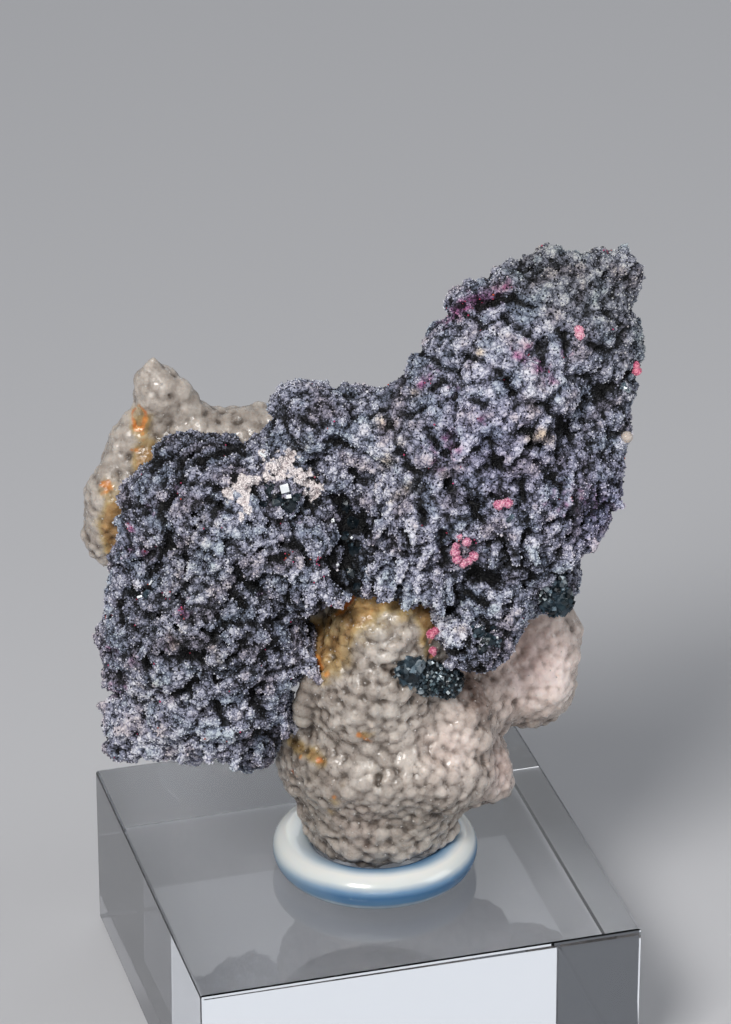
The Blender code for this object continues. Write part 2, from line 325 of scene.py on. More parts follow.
def bump_at(P, marks):
    """Sum of soft round marks: (place, reach in metres, strength)."""
    out = np.zeros(len(P))
    for c, r, s in marks:
        d2 = ((P - np.asarray(c)) ** 2).sum(1) / (r * r)
        out += s * np.exp(-1.5 * d2)
    return out


def bvh_of(V, T):
    return BVHTree.FromPolygons(V.tolist(), T.tolist())


def met(tree, u, v):
    """Where the elevation's sight line at (u, v) meets a surface."""
    p = spot(u, v, 0.0)
    d = Vector(p - EYE_ROW).normalized()
    co, no, i, dist = tree.ray_cast(Vector(EYE_ROW), d)
    return (None, None) if co is None else (np.array(co), np.array(no))


# ---------------------------------------------------------------------------------------------------
# material helpers
# ---------------------------------------------------------------------------------------------------
class Shader:
    """A small builder of node materials."""

    def __init__(self, name):
        self.m = bpy.data.materials.new(name)
        self.m.use_nodes = True
        self.t = self.m.node_tree
        self.b = self.t.nodes["Principled BSDF"]
        self.out = self.t.nodes["Material Output"]
        self.tc = self.t.nodes.new("ShaderNodeTexCoord")

    def new(self, kind, **kw):
        n = self.t.nodes.new(kind)
        for k, v in kw.items():
            setattr(n, k, v)
        return n

    def link(self, a, b):
        self.t.links.new(a, b)

    def noise(self, scale, detail=2.0, rough=0.5, distortion=0.0, vec=None):
        n = self.new("ShaderNodeTexNoise")
        n.inputs["Scale"].default_value = scale
        n.inputs["Detail"].default_value = detail
        n.inputs["Roughness"].default_value = rough
        n.inputs["Distortion"].default_value = distortion
        self.link(vec or self.tc.outputs["Object"], n.inputs["Vector"])
        return n.outputs["Fac"]

    def cells(self, scale, feature="F1", randomness=1.0, out="Distance", vec=None):
        n = self.new("ShaderNodeTexVoronoi", feature=feature)
        n.inputs["Scale"].default_value = scale
        n.inputs["Randomness"].default_value = randomness
        self.link(vec or self.tc.outputs["Object"], n.inputs["Vector"])
        return n.outputs[out]

    def attr(self, name):
        n = self.new("ShaderNodeAttribute", attribute_name=name)
        return n.outputs["Fac"]

    def math(self, op, a, b=None, c=None, clamp=False):
        n = self.new("ShaderNodeMath", operation=op, use_clamp=clamp)
        for i, x in enumerate((a, b, c)):
            if x is None:
                continue
            if isinstance(x, (int, float)):
                n.inputs[i].default_value = x
            else:
                self.link(x, n.inputs[i])
        return n.outputs[0]

    def span(self, x, a, b, lo=0.0, hi=1.0, kind="SMOOTHSTEP"):
        n = self.new("ShaderNodeMapRange", interpolation_type=kind)
        n.clamp = True
        self.link(x, n.inputs[0])
        for i, val in zip((1, 2, 3, 4), (a, b, lo, hi)):
            n.inputs[i].default_value = val
        return n.outputs[0]

    def ramp(self, x, stops, kind="LINEAR"):
        n = self.new("ShaderNodeValToRGB")
        n.color_ramp.interpolation = kind
        e = n.color_ramp.elements
        while len(e) < len(stops):
            e.new(0.5)
        for el, (pos, col) in zip(e, stops):
            el.position = pos
            el.color = (*col, 1.0)
        self.link(x, n.inputs["Fac"])
        return n.outputs["Color"]

    def mix(self, fac, a, b, blend="MIX"):
        n = self.new("ShaderNodeMix", data_type="RGBA", blend_type=blend)
        n.clamp_factor = True
        for i, x in ((0, fac), (6, a), (7, b)):
            if isinstance(x, tuple):
                n.inputs[i].default_value = (*x, 1.0)
            elif isinstance(x, (int, float)):
                n.inputs[i].default_value = x
            else:
                self.link(x, n.inputs[i])
        return n.outputs[2]

    def bump(self, height, distance, strength=1.0, base=None):
        n = self.new("ShaderNodeBump")
        n.inputs["Strength"].default_value = strength
        n.inputs["Distance"].default_value = distance
        self.link(height, n.inputs["Height"])
        if base is not None:
            self.link(base, n.inputs["Normal"])
        return n.outputs["Normal"]

    def set(self, **kw):
        for k, v in kw.items():
            k = k.replace("_", " ")
            if isinstance(v, tuple) and k.endswith(("Color", "Tint")):
                v = (*v, 1.0)
            if isinstance(v, (int, float, tuple)):
                self.b.inputs[k].default_value = v
            else:
                self.link(v, self.b.inputs[k])
        return self


def srgb(h):
    """Linear colour of a six-figure web colour."""
    out = []
    for i in (0, 2, 4):
        c = int(h[i:i + 2], 16) / 255.0
        out.append(c / 12.92 if c <= 0.04045 else ((c + 0.055) / 1.055) ** 2.4)
    return tuple(out)


# ---------------------------------------------------------------------------------------------------
# camera, floor and light
# ---------------------------------------------------------------------------------------------------
cam_data = bpy.data.cameras.new("camera")
cam_data.sensor_fit = "AUTO"
cam_data.sensor_width = 36.0
cam_data.lens = EYE / 1024.0 * 36.0
cam_data.clip_start = 0.01
cam_data.clip_end = 20.0
camera = bpy.data.objects.new("camera", cam_data)
scene.collection.objects.link(camera)
camera.location = EYE_ROW
camera.rotation_euler = Vector(VIEW).to_track_quat("-Z", "Y").to_euler()
scene.camera = camera


def floor():
    bm = bmesh.new()
    bmesh.ops.create_grid(bm, x_segments=8, y_segments=8, size=3.0)
    me = bpy.data.meshes.new("studio_floor")
    bm.to_mesh(me)
    bm.free()
    ob = bpy.data.objects.new("studio_floor", me)
    scene.collection.objects.link(ob)
    s = Shader("pale_floor")
    s.set(Base_Color=srgb("c6c6c9"), Roughness=0.8)
    ob.data.materials.append(s.m)
    ob.location.z = -0.0002
    return ob


def area_light(name, place, aim, size, power, colour=(1, 1, 1)):
    d = bpy.data.lights.new(name, "AREA")
    d.shape = "RECTANGLE"
    d.size, d.size_y = size
    d.energy = power
    d.color = colour
    ob = bpy.data.objects.new(name, d)
    scene.collection.objects.link(ob)
    ob.location = place
    ob.rotation_euler = (Vector(aim) - Vector(place)).to_track_quat("-Z", "Y").to_euler()
    return ob


floor()
AIM = (0.0, 0.0, 0.07)
area_light("key", (-0.34, -0.46, 0.62), AIM, (0.24, 0.24), 5.3, (1.0, 0.985, 0.96))
area_light("fill", (0.60, -0.36, 0.36), AIM, (0.40, 0.40), 1.4, (0.96, 0.98, 1.0))
area_light("back", (0.25, 0.70, 0.56), AIM, (0.80, 0.50), 1.25, (0.96, 0.98, 1.0))
area_light("front", (-0.14, -0.78, 0.12), AIM, (0.36, 0.24), 0.55, (1.0, 0.99, 0.97))
world = bpy.data.worlds.new("studio")
world.use_nodes = True
world.node_tree.nodes["Background"].inputs[0].default_value = (0.80, 0.84, 0.90, 1.0)
world.node_tree.nodes["Background"].inputs[1].default_value = 0.22
scene.world = world
scene.view_settings.view_transform = "Standard"

# ---------------------------------------------------------------------------------------------------
# the two skins that everything grows on
# ---------------------------------------------------------------------------------------------------
CRUST_V, CRUST_T = node_skin("dark_crust")
MATRIX_V, MATRIX_T = node_skin("calcite_matrix")


def soft_skin(V, T, voxel, times, inward):
    """The CAD surface without its facets, moved inward a little."""
    Q, F = fused(V, T, voxel)
    E = edges_of(F)
    Q = smoothed(Q, E, times)
    N = vertex_normals(Q, F)
    return Q - N * inward, tri_of(F), N


crust_soft, crust_tris, _ = soft_skin(CRUST_V, CRUST_T, 0.0008, 3, 0.0)
matrix_soft, matrix_tris, _ = soft_skin(MATRIX_V, MATRIX_T, 0.0008, 3, 0.0)
crust_tree = bvh_of(crust_soft, crust_tris)
matrix_tree = bvh_of(matrix_soft, matrix_tris)


def thinned(V, F, tree, rest):
    """The same skin, with the faces that lie behind the best side joined into larger ones until only the share
    given as rest is left of them."""
    away = np.zeros(len(V), bool)
    eye = Vector(EYE_ROW)
    for i, p in enumerate(V.tolist()):
        d = Vector(p) - eye
        far = d.length
        dist = tree.ray_cast(eye, d / far)[3]
        away[i] = dist is not None and far - dist > 0.0012
    T = tri_of(F)
    back = away[T].mean(1) > 0.5
    ob = mesh_object("tmp", V, F)
    g = ob.vertex_groups.new(name="away")
    g.add(np.nonzero(away)[0].tolist(), 1.0, "REPLACE")
    m = ob.modifiers.new("thin", "DECIMATE")
    m.decimate_type = "COLLAPSE"
    m.vertex_group = "away"
    m.vertex_group_factor = 1000.0
    m.ratio = (np.count_nonzero(~back) + rest * np.count_nonzero(back)) / len(T)
    me = evaluated(ob)
    drop(ob)
    out = arrays(me)
    bpy.data.meshes.remove(me)
    return out


def inside_or_near(tree, P, N, near):
    """True for points within the closed surface or nearer to it than near."""
    out = np.zeros(len(P), bool)
    for i, p in enumerate(P.tolist()):
        co, no, _, dist = tree.find_nearest(Vector(p))
        out[i] = dist < near or (Vector(p) - co).dot(no) < 0
    return out


# ---------------------------------------------------------------------------------------------------
# dark crust: clusters of nodules on the skin, smaller ones on those, then loose grains all over
# ---------------------------------------------------------------------------------------------------
RIDGE = VIEW_RIGHT * 0.80 + VIEW_UP * 0.60     # the wing's clusters are longer this way


def mark(u, v, y, reach, strength):
    return (spot(u, v, y), reach * UNIT, strength)


# how big the nodules are: bigger on the wing, smaller on the left lobe
BIG = [mark(500, 400, -60, 120, 1.0), mark(430, 470, -60, 90, 0.7), mark(560, 330, -30, 80, 0.6), mark(480, 560, -60, 60, 0.5)]

# dark crevices seen from the front: u, v of both ends and half width, in units
CREVICES = [
    (478, 308, 512, 298, 4), (510, 300, 532, 306, 3), (462, 352, 480, 362, 3), (500, 372, 514, 392, 5), (514, 392, 524, 388, 3),
    (538, 346, 546, 366, 4), (492, 442, 494, 460, 4), (516, 434, 532, 430, 5), (528, 446, 540, 440, 3), (482, 470, 500, 462, 4),
    (560, 330, 566, 345, 4), (590, 345, 604, 352, 4), (596, 392, 612, 386, 5), (470, 400, 484, 404, 3), (425, 430, 440, 446, 3),
    (430, 390, 446, 382, 3), (400, 452, 412, 470, 4), (446, 476, 452, 494, 4), (420, 500, 424, 522, 4), (470, 500, 482, 520, 5),
    (520, 480, 526, 500, 4), (545, 470, 560, 486, 4), (440, 530, 444, 552, 3), (402, 530, 404, 556, 3), (500, 540, 520, 560, 6),
    (560, 415, 568, 436, 4), (474, 573, 497, 583, 7), (536, 400, 548, 408, 3),
    (170, 532, 158, 566, 5), (158, 566, 152, 572, 6), (240, 580, 256, 586, 5), (134, 597, 150, 588, 3), (160, 510, 172, 500, 3),
    (266, 560, 286, 556, 3), (276, 640, 262, 654, 3), (230, 660, 244, 640, 4), (236, 596, 244, 606, 4), (205, 628, 216, 640, 3),
    (175, 690, 196, 682, 3), (140, 655, 150, 668, 3), (215, 700, 224, 724, 4), (252, 690, 262, 712, 5), (180, 556, 196, 560, 3),
    (200, 462, 226, 452, 4), (152, 470, 166, 462, 3), (210, 500, 230, 512, 3), (120, 600, 124, 622, 3), (330, 560, 340, 590, 6),
    (322, 600, 310, 624, 4), (290, 600, 300, 612, 3), (280, 545, 300, 548, 3), (224, 540, 236, 546, 3),
    (330, 440, 350, 446, 4), (352, 470, 366, 482, 5), (300, 418, 314, 426, 3), (382, 410, 392, 428, 3), (340, 500, 352, 530, 8),
    (346, 530, 352, 570, 7), (352, 570, 356, 596, 5), (360, 520, 372, 540, 4), (184, 652, 196, 656, 6),
    (478, 600, 486, 604, 4), (484, 616, 488, 630, 3), (452, 652, 466, 652, 3), (450, 608, 460, 618, 3), (468, 628, 468, 648, 2.5),
    (430, 640, 436, 652, 3), (470, 668, 484, 670, 3), (466, 592, 474, 600, 3),
]


def crevice_depth(P, N):
    """1 along a crevice of the front, falling to 0 beside it."""
    u, v = elevation(P)
    out = np.zeros(len(P))
    front = np.clip(-(N @ VIEW) * 3.0 + 0.3, 0, 1)
    for u0, v0, u1, v1, w in CREVICES:
        du, dv = u1 - u0, v1 - v0
        t = np.clip(((u - u0) * du + (v - v0) * dv) / (du * du + dv * dv), 0, 1)
        d2 = (u - u0 - t * du) ** 2 + (v - v0 - t * dv) ** 2
        out = np.maximum(out, np.exp(-d2 / (w + 0.5) ** 2))
    return out * front


def stretched(P):
    """Coordinates in which distance along the ridges counts less."""
    along = P @ RIDGE
    return P - 0.32 * along[:, None] * RIDGE


def cluster_seeds(gap):
    rng = np.random.default_rng(71)
    Q, _, _ = scatter(crust_soft, crust_tris, 5000, rng)
    Q = stretched(Q)
    Q = Q[spaced(Q, gap)]
    tree = KDTree(len(Q))
    for i, q in enumerate(Q.tolist()):
        tree.insert(q, i)
    tree.balance()
    return tree, rng.uniform(-1, 1, len(Q)), rng.uniform(-1, 1, len(Q))


CLUSTERS, CLUSTER_TONE, CLUSTER_RISE = cluster_seeds(0.0054)


def cluster_edges(P):
    """0 on the crevices between clusters, rising to 1 in their middles; and each cluster's own tone and rise, -1..1."""
    out, tone, rise = np.empty(len(P)), np.empty(len(P)), np.empty(len(P))
    for i, p in enumerate(stretched(P).tolist()):
        (_, j, d1), (_, _, d2) = CLUSTERS.find_n(p, 2)
        out[i] = d2 - d1
        tone[i] = CLUSTER_TONE[j]
        rise[i] = CLUSTER_RISE[j]
    return np.clip(out / 0.0024, 0, 1), tone, rise


# places on the outline that lie further in: u, v and reach, in units
NOTCHES = [(638, 308, 9), (622, 408, 9), (648, 252, 7), (520, 268, 5), (452, 318, 7), (572, 243, 6), (84, 560, 8), (88, 660, 8), (244, 436, 8), (172, 452, 7),
           (352, 607, 8), (362, 605, 8), (372, 603, 8), (399, 601, 5), (421, 604, 5), (434, 606, 4), (115, 512, 8), (113, 528, 8), (111, 543, 7)]


def notch(P):
    u, v = elevation(P)
    out = np.zeros(len(P))
    for mu, mv, r in NOTCHES:
        out = np.maximum(out, np.exp(-((u - mu) ** 2 + (v - mv) ** 2) / (r * r)))
    return out


# rounded clumps that stand out of the front: u, v and reach
CLUMPS = [
    (442, 628, 12), (458, 642, 12), (478, 640, 13), (470, 612, 11), (497, 612, 11), (501, 590, 12), (484, 656, 11), (452, 660, 9), (496, 636, 9),
    (500, 432, 15), (545, 436, 14), (516, 372, 15), (438, 404, 14), (560, 394, 18), (470, 350, 14), (540, 290, 18), (600, 262, 16), (626, 330, 14),
    (410, 470, 14), (356, 440, 14), (470, 486, 20), (590, 420, 16), (524, 330, 14), (210, 450, 16), (170, 480, 14), (135, 560, 12), (215, 560, 16),
    (300, 600, 14), (180, 600, 14), (230, 640, 16), (150, 650, 12), (205, 690, 14), (270, 690, 14), (130, 700, 12), (160, 730, 12), (310, 540, 14),
]


def clump(P):
    u, v = elevation(P)
    out = np.zeros(len(P))
    for mu, mv, r in CLUMPS:
        out = np.maximum(out, np.clip(1.15 - ((u - mu) ** 2 + (v - mv) ** 2) / (r * r), 0, 1))
    return out


def crust_nodules(rng):
    """Nodules of three sizes, and smaller ones lower down between them."""
    P, N, _ = scatter(crust_soft, crust_tris, 30000, rng)
    size = np.clip(bump_at(P, BIG), 0, 1)
    base = 0.00080 + 0.00038 * size
    big = rng.choice((0.74, 1.0, 1.30), len(P), p=(0.40, 0.38, 0.22)) * rng.uniform(0.92, 1.08, len(P))
    r1 = base * big
    keep = spaced(P, r1 * 1.40)
    P, N, r1, big = P[keep], N[keep], r1[keep], big[keep]
    hidden = inside_or_near(matrix_tree, P, N, 0.0009)
    P, N, r1, big = P[~hidden], N[~hidden], r1[~hidden], big[~hidden]
    edge, _, rise = cluster_edges(P)
    deep = crevice_depth(P, N)
    low = 0.00150 * (1 - edge) ** 2.8 + 0.0013 * deep + 0.0017 * notch(P) - 0.00030 * rise
    low = low - 0.00055 * clump(P) * (N @ VIEW < 0.2)
    lift = 0.00068 + 0.00022 * (big - 1) - r1 - low + rng.uniform(-0.00036, 0.00024, len(P))
    C, R = P + N * lift[:, None], r1 * (1 - 0.35 * deep)
    # the fillers
    P, M, _ = scatter(crust_soft, crust_tris, 30000, rng)
    keep = spaced(P, 0.00098)
    P, M = P[keep], M[keep]
    hidden = inside_or_near(matrix_tree, P, M, 0.0008)
    P, M = P[~hidden], M[~hidden]
    edge, _, rise = cluster_edges(P)
    size = np.clip(bump_at(P, BIG), 0, 1)
    r2 = rng.uniform(0.00056, 0.00080, len(P)) * (1 + 0.25 * size)
    deep = crevice_depth(P, M)
    lift = 0.00012 + 0.00026 * size - r2 - 0.00125 * (1 - edge) ** 2.8 - 0.0011 * deep - 0.0017 * notch(P) + rng.uniform(-0.00030, 0.00020, len(P))
    lift = lift + 0.00026 * rise
    lift = lift + 0.00045 * clump(P) * (M @ VIEW < 0.2)
    return np.concatenate((C, P + M * lift[:, None])), np.concatenate((N, M)), np.concatenate((R, r2)), len(C)


# short branches: (u, v) of both ends, radius, and how far each end stands in front of the crust, all in units
BRANCHES = [
    (393, 508, 371, 541, 5.2, 2, 10), (394, 510, 402, 546, 4.6, 2, 9), (410, 520, 413, 543, 4.4, 2, 7), (394, 550, 370, 571, 4.6, 3, 9),
    (391, 563, 377, 588, 5.0, 3, 9), (397, 568, 389, 598, 5.0, 4, 10), (410, 574, 407, 607, 5.4, 4, 9), (418, 572, 416, 600, 4.6, 6, 11),
    (427, 575, 426, 601, 4.6, 4, 9), (437, 572, 440, 612, 5.2, 4, 10), (383, 574, 380, 600, 4.6, 5, 10), (371, 570, 366, 594, 4.4, 4, 9), (448, 580, 451, 602, 4.4, 4, 8), (403, 560, 399, 580, 4.6, 7, 12),
    (516, 530, 515, 562, 5.4, 3, 9), (430, 548, 420, 566, 4.6, 4, 8), (498, 545, 492, 566, 4.6, 3, 8), (530, 540, 536, 562, 4.6, 3, 8),
    (446, 470, 432, 492, 5.2, 3, 9), (520, 440, 508, 462, 5.6, 3, 9), (470, 440, 455, 458, 5.4, 3, 8), (546, 420, 536, 440, 5.0, 3, 8),
    (300, 560, 292, 580, 4.4, 3, 7), (262, 610, 254, 630, 4.4, 3, 7), (196, 560, 186, 578, 4.4, 3, 7), (150, 640, 140, 656, 4.4, 3, 7),
    (303, 652, 316, 670, 5.4, 2, 3), (300, 664, 321, 680, 5.4, 2, 3), (300, 676, 320, 694, 5.2, 2, 3), (298, 690, 315, 706, 5.2, 2, 3),
    (296, 702, 308, 722, 5.0, 2, 3), (286, 716, 300, 738, 5.0, 2, 3), (318, 590, 340, 606, 5.2, 2, 3), (326, 584, 347, 598, 5.2, 2, 3),
    (312, 664, 318, 688, 4.6, 2, 5), (300, 690, 304, 712, 4.6, 2, 5), (280, 716, 286, 736, 4.6, 2, 4), (256, 744, 260, 764, 4.6, 1, 3),
    (236, 746, 234, 768, 4.6, 1, 3), (210, 744, 208, 760, 4.4, 1, 3), (184, 744, 180, 760, 4.4, 1, 3), (158, 738, 152, 754, 4.4, 1, 3),
    (128, 724, 116, 734, 4.4, 1, 2), (112, 700, 100, 706, 4.2, 1, 2), (330, 590, 342, 600, 4.6, 2, 5), (322, 616, 332, 628, 4.6, 2, 5),
    (588, 528, 594, 548, 5.0, 1, 3), (610, 490, 620, 506, 4.6, 1, 3), (566, 548, 570, 566, 5.0, 1, 3),
]


def branches(rng):
    """Chains of nodules along the branches, each with a smaller one beside it."""
    C, N, R = [], [], []
    for u0, v0, u1, v1, r, l0, l1 in BRANCHES:
        hit, _ = met(crust_tree, u0, v0)
        if hit is None:
            continue
        y = depth_of(hit)
        length = math.hypot(u1 - u0, v1 - v0)
        n = max(2, int(length / (r * 0.85)))
        last = None
        for i in range(n + 1):
            t = i / n
            rr = r * (1.0 - 0.28 * t) * rng.uniform(0.9, 1.12)
            p = spot(u0 + (u1 - u0) * t + rng.uniform(-1, 1), v0 + (v1 - v0) * t, y - l0 - (l1 - l0) * t + rr * 0.6)
            d = -VIEW if last is None else (p - last) / np.linalg.norm(p - last)
            out = d - VIEW * 0.8
            out /= np.linalg.norm(out)
            C.append(p)
            N.append(out)
            R.append(rr * UNIT)
            side = rng.normal(size=3)
            side -= d * side.dot(d)
            side /= np.linalg.norm(side) + 1e-9
            if side @ VIEW > 0:
                side = -side
            C.append(p + side * rr * UNIT * 0.85)
            N.append(side)
            R.append(rr * UNIT * 0.66)
            last = p
    return np.array(C), np.array(N), np.array(R)


def budding(C, N, R, per, ratio, rng):
    """Smaller spheres over the outward side of each sphere, clear of the valleys between neighbours."""
    n = len(C)
    D = rng.normal(size=(n, per, 3))
    D /= np.linalg.norm(D, axis=2, keepdims=True)
    D += N[:, None, :] * 0.75
    D /= np.linalg.norm(D, axis=2, keepdims=True)
    r = np.maximum(R[:, None] * ratio, 0.00026) * rng.uniform(0.80, 1.25, (n, per))
    P = C[:, None, :] + D * (R[:, None] * rng.uniform(0.84, 0.98, (n, per)))[..., None]
    return P.reshape(-1, 3), D.reshape(-1, 3), r.reshape(-1)


def cavities(V, F, E, N, times=5):
    """How far each vertex stands out of its surroundings, near and wide, in metres."""
    a = smoothed(V, E, times)
    b = smoothed(a, E, times * 5)
    return ((V - a) * N).sum(1), ((V - b) * N).sum(1)


rng = np.random.default_rng(11)
C1, N1, R1, tall = crust_nodules(rng)
Cf, Nf, Rf = branches(rng)
C1, N1, R1 = np.concatenate((C1, Cf)), np.concatenate((N1, Nf)), np.concatenate((R1, Rf))
C2, N2, R2 = budding(C1, N1, R1, 12, 0.30, rng)
keep = spaced(C2, 0.00050)
C2, N2, R2 = C2[keep], N2[keep], R2[keep]
print("crust nodules", len(C1), "buds", len(C2))
core, core_t, _ = soft_skin(CRUST_V, CRUST_T, 0.0009, 4, 0.0012)
V, T = join((core, core_t), copies(ICO[2], C1, R1, rng, 0.03, 0.12), copies(ICO[2], C2, R2, rng, 0.04, 0.12))
CV, CF = fused(V, T, 0.00026)
print("crust skin quads", len(CF))
CV, CF = thinned(CV, CF, crust_tree, 0.09)
print("crust skin triangles kept", len(CF))
CE = edges_of(CF)
CV = smoothed(CV, CE, 1, 0.25)
CN = vertex_normals(CV, CF)
near_c, wide_c = cavities(CV, CF, CE, CN, 9)


# lighter and darker places of the front: u, v, reach in units and strength; among them painted glints in the dark
# cleft, and painted shade in holes and under the low hanging cluster
LIGHT = [
    (190, 654, 9, -0.9), (208, 650, 16, 0.12), (136, 512, 8, -0.25), (222, 528, 14, 0.18), (170, 505, 12, 0.10), (250, 540, 12, 0.12),
    (290, 540, 14, 0.12), (150, 690, 16, 0.18), (124, 724, 14, 0.18), (146, 742, 14, 0.18), (190, 745, 14, 0.20), (225, 735, 16, 0.12),
    (240, 600, 14, -0.15), (262, 630, 12, -0.12), (120, 600, 12, -0.10), (300, 575, 10, 0.12), (312, 596, 9, 0.15), (205, 545, 10, 0.10),
    (498, 424, 13, 0.12), (546, 434, 13, 0.16), (510, 372, 14, 0.10), (480, 352, 14, 0.12), (430, 402, 16, 0.08), (560, 390, 18, 0.10),
    (540, 300, 20, 0.10), (600, 300, 12, 0.14), (590, 262, 16, 0.10), (626, 262, 10, 0.10), (455, 418, 14, 0.10), (470, 520, 14, 0.10),
    (440, 510, 12, 0.16), (420, 440, 12, 0.12), (365, 420, 14, 0.15), (400, 470, 12, 0.12), (350, 455, 10, 0.10), (400, 500, 9, 0.15),
    (385, 535, 8, 0.18), (400, 538, 6, 0.15), (380, 580, 9, 0.14), (410, 590, 10, 0.12), (437, 596, 8, 0.10),
    (442, 628, 8, 0.42), (452, 640, 7, 0.50), (472, 630, 9, 0.46), (463, 642, 7, 0.46), (474, 645, 7, 0.3), (458, 628, 9, 0.3), (462, 608, 7, 0.24), (484, 640, 5, 0.2),
    (340, 520, 4, 0.5), (352, 560, 3.5, 0.4), (345, 540, 3, 0.4), (357, 582, 4, 0.3), (348, 528, 3, 0.4), (343, 572, 3, 0.4), (497, 614, 7, 0.25), (500, 590, 9, 0.22), (486, 584, 8, 0.16),
    (446, 654, 9, -0.60), (478, 663, 13, -0.60), (491, 650, 9, -0.45), (462, 654, 8, -0.35), (458, 618, 5, -0.20), (505, 620, 8, -0.25), (472, 590, 6, -0.35), (484, 604, 5, -0.35), (462, 594, 7, -0.25),
    (486, 577, 9, -0.60), (506, 578, 12, -0.35), (350, 510, 9, -0.30), (356, 560, 10, -0.30), (348, 484, 8, -0.25), (330, 470, 9, -0.12),
    (612, 396, 9, -0.25), (604, 360, 10, -0.18), (620, 330, 10, -0.18), (560, 470, 14, 0.06), (520, 500, 12, 0.06),
]


def flat_marks(P, marks):
    """Sum of soft marks that lie on the front: (u, v, reach, strength)."""
    u, v = elevation(P)
    out = np.zeros(len(P))
    for mu, mv, r, k in marks:
        out += k * np.exp(-((u - mu) ** 2 + (v - mv) ** 2) / (r * r))
    return out


def crust_tones(P):
    """Large changes over the crust: lightness and how violet it is, -1..1 each."""
    light = bump_at(P, [
        mark(480, 420, -60, 105, 0.40), mark(600, 430, 10, 40, 0.14), mark(470, 500, -70, 30, -0.20), mark(540, 360, -40, 70, 0.25), mark(420, 540, -70, 55, 0.20), mark(450, 345, -30, 45, -0.16),
        mark(160, 720, -50, 60, 0.44), mark(210, 700, -60, 50, 0.34), mark(270, 475, -60, 45, 0.20), mark(220, 570, -80, 60, 0.20),
        mark(370, 470, -30, 40, 0.68), mark(330, 420, 0, 50, -0.06),
        mark(600, 290, 20, 60, 0.22), mark(560, 280, 10, 50, 0.12), mark(630, 340, 40, 45, -0.06),
        mark(220, 435, 0, 60, -0.50), mark(345, 550, -10, 48, -0.30), mark(320, 500, -30, 28, -0.25),
        mark(250, 620, -90, 50, -0.12), mark(300, 605, -40, 40, -0.28), mark(560, 590, 0, 50, -0.35), mark(600, 430, 10, 50, -0.15),
        mark(260, 740, -30, 40, -0.15),
    ]) + flat_marks(P, LIGHT)
    violet = bump_at(P, [
        mark(480, 440, -60, 110, 0.5), mark(560, 500, -20, 70, 0.5), mark(600, 510, 0, 50, 0.6), mark(430, 560, -60, 60, 0.25),
        mark(120, 560, -20, 60, 0.35), mark(270, 700, -40, 60, 0.4), mark(280, 620, -40, 40, 0.2),
        mark(600, 290, 20, 70, -0.6), mark(540, 270, 20, 60, -0.5), mark(630, 360, 40, 60, -0.5), mark(400, 430, -30, 40, -0.15),
        mark(250, 430, 0, 50, -0.1), mark(190, 600, -60, 120, -0.30), mark(170, 720, -50, 70, -0.10),
    ])
    return light, violet


# frosted, nearly white patches: u, v and reach
FROST = [
    (232, 494, 7), (238, 487, 8), (246, 484, 8), (252, 480, 7), (244, 500, 7), (245, 508, 6), (241, 514, 5), (266, 474, 8), (274, 468, 9),
    (283, 463, 9), (291, 458, 7), (281, 474, 8), (292, 470, 9), (301, 476, 9), (308, 484, 9), (314, 492, 8), (262, 455, 4),
]
# small red, magenta and rust-coloured grains: u, v, reach, share of the grains there
SPECKS = [
    (176, 488, 7, 0.35), (144, 553, 3, 0.9), (182, 613, 5, 0.6), (291, 558, 6, 0.45), (319, 563, 6, 0.4), (297, 517, 3, 0.5), (129, 526, 3, 0.6),
    (263, 593, 3, 0.6), (106, 617, 3, 0.6), (170, 598, 5, 0.35), (490, 298, 7, 0.45), (468, 310, 10, 0.40), (508, 287, 4, 0.5),
    (479, 420, 4, 0.8), (447, 438, 7, 0.45), (429, 441, 4, 0.6), (421, 467, 8, 0.3), (458, 456, 8, 0.3), (550, 373, 3, 0.5),
    (560, 355, 4, 0.5), (532, 356, 6, 0.5), (521, 360, 3, 0.6), (580, 341, 4, 0.7), (607, 251, 3, 0.7), (426, 385, 5, 0.5), (478, 331, 4, 0.4),
    (456, 392, 5, 0.3), (402, 452, 4, 0.4), (455, 536, 8, 0.35), (470, 548, 8, 0.35), (500, 492, 5, 0.4), (280, 520, 5, 0.3), (228, 690, 4, 0.3),
]


# rosy patches of the front: u, v, reach and strength
ROSE = [
    (462, 306, 9, 0.9), (478, 300, 9, 1.0), (492, 296, 8, 0.9), (505, 288, 7, 0.8), (455, 312, 6, 0.8), (445, 322, 6, 0.5), (520, 356, 8, 0.8),
    (540, 368, 8, 0.8), (552, 380, 6, 0.5), (528, 345, 6, 0.6), (430, 376, 7, 0.6), (420, 384, 6, 0.5), (448, 436, 7, 0.7), (455, 450, 7, 0.6),
    (440, 462, 7, 0.5), (430, 446, 6, 0.5), (565, 350, 6, 0.5), (480, 420, 5, 0.5), (560, 500, 14, 0.3), (590, 500, 14, 0.3), (454, 392, 6, 0.4),
    (144, 553, 5, 0.7), (130, 528, 5, 0.6), (128, 552, 6, 0.5), (182, 613, 7, 0.6), (184, 600, 6, 0.4), (176, 488, 8, 0.3), (297, 517, 5, 0.5),
    (110, 650, 8, 0.4), (116, 690, 8, 0.4), (136, 660, 6, 0.4), (168, 642, 6, 0.35), (150, 510, 6, 0.3), (262, 592, 5, 0.5),
]


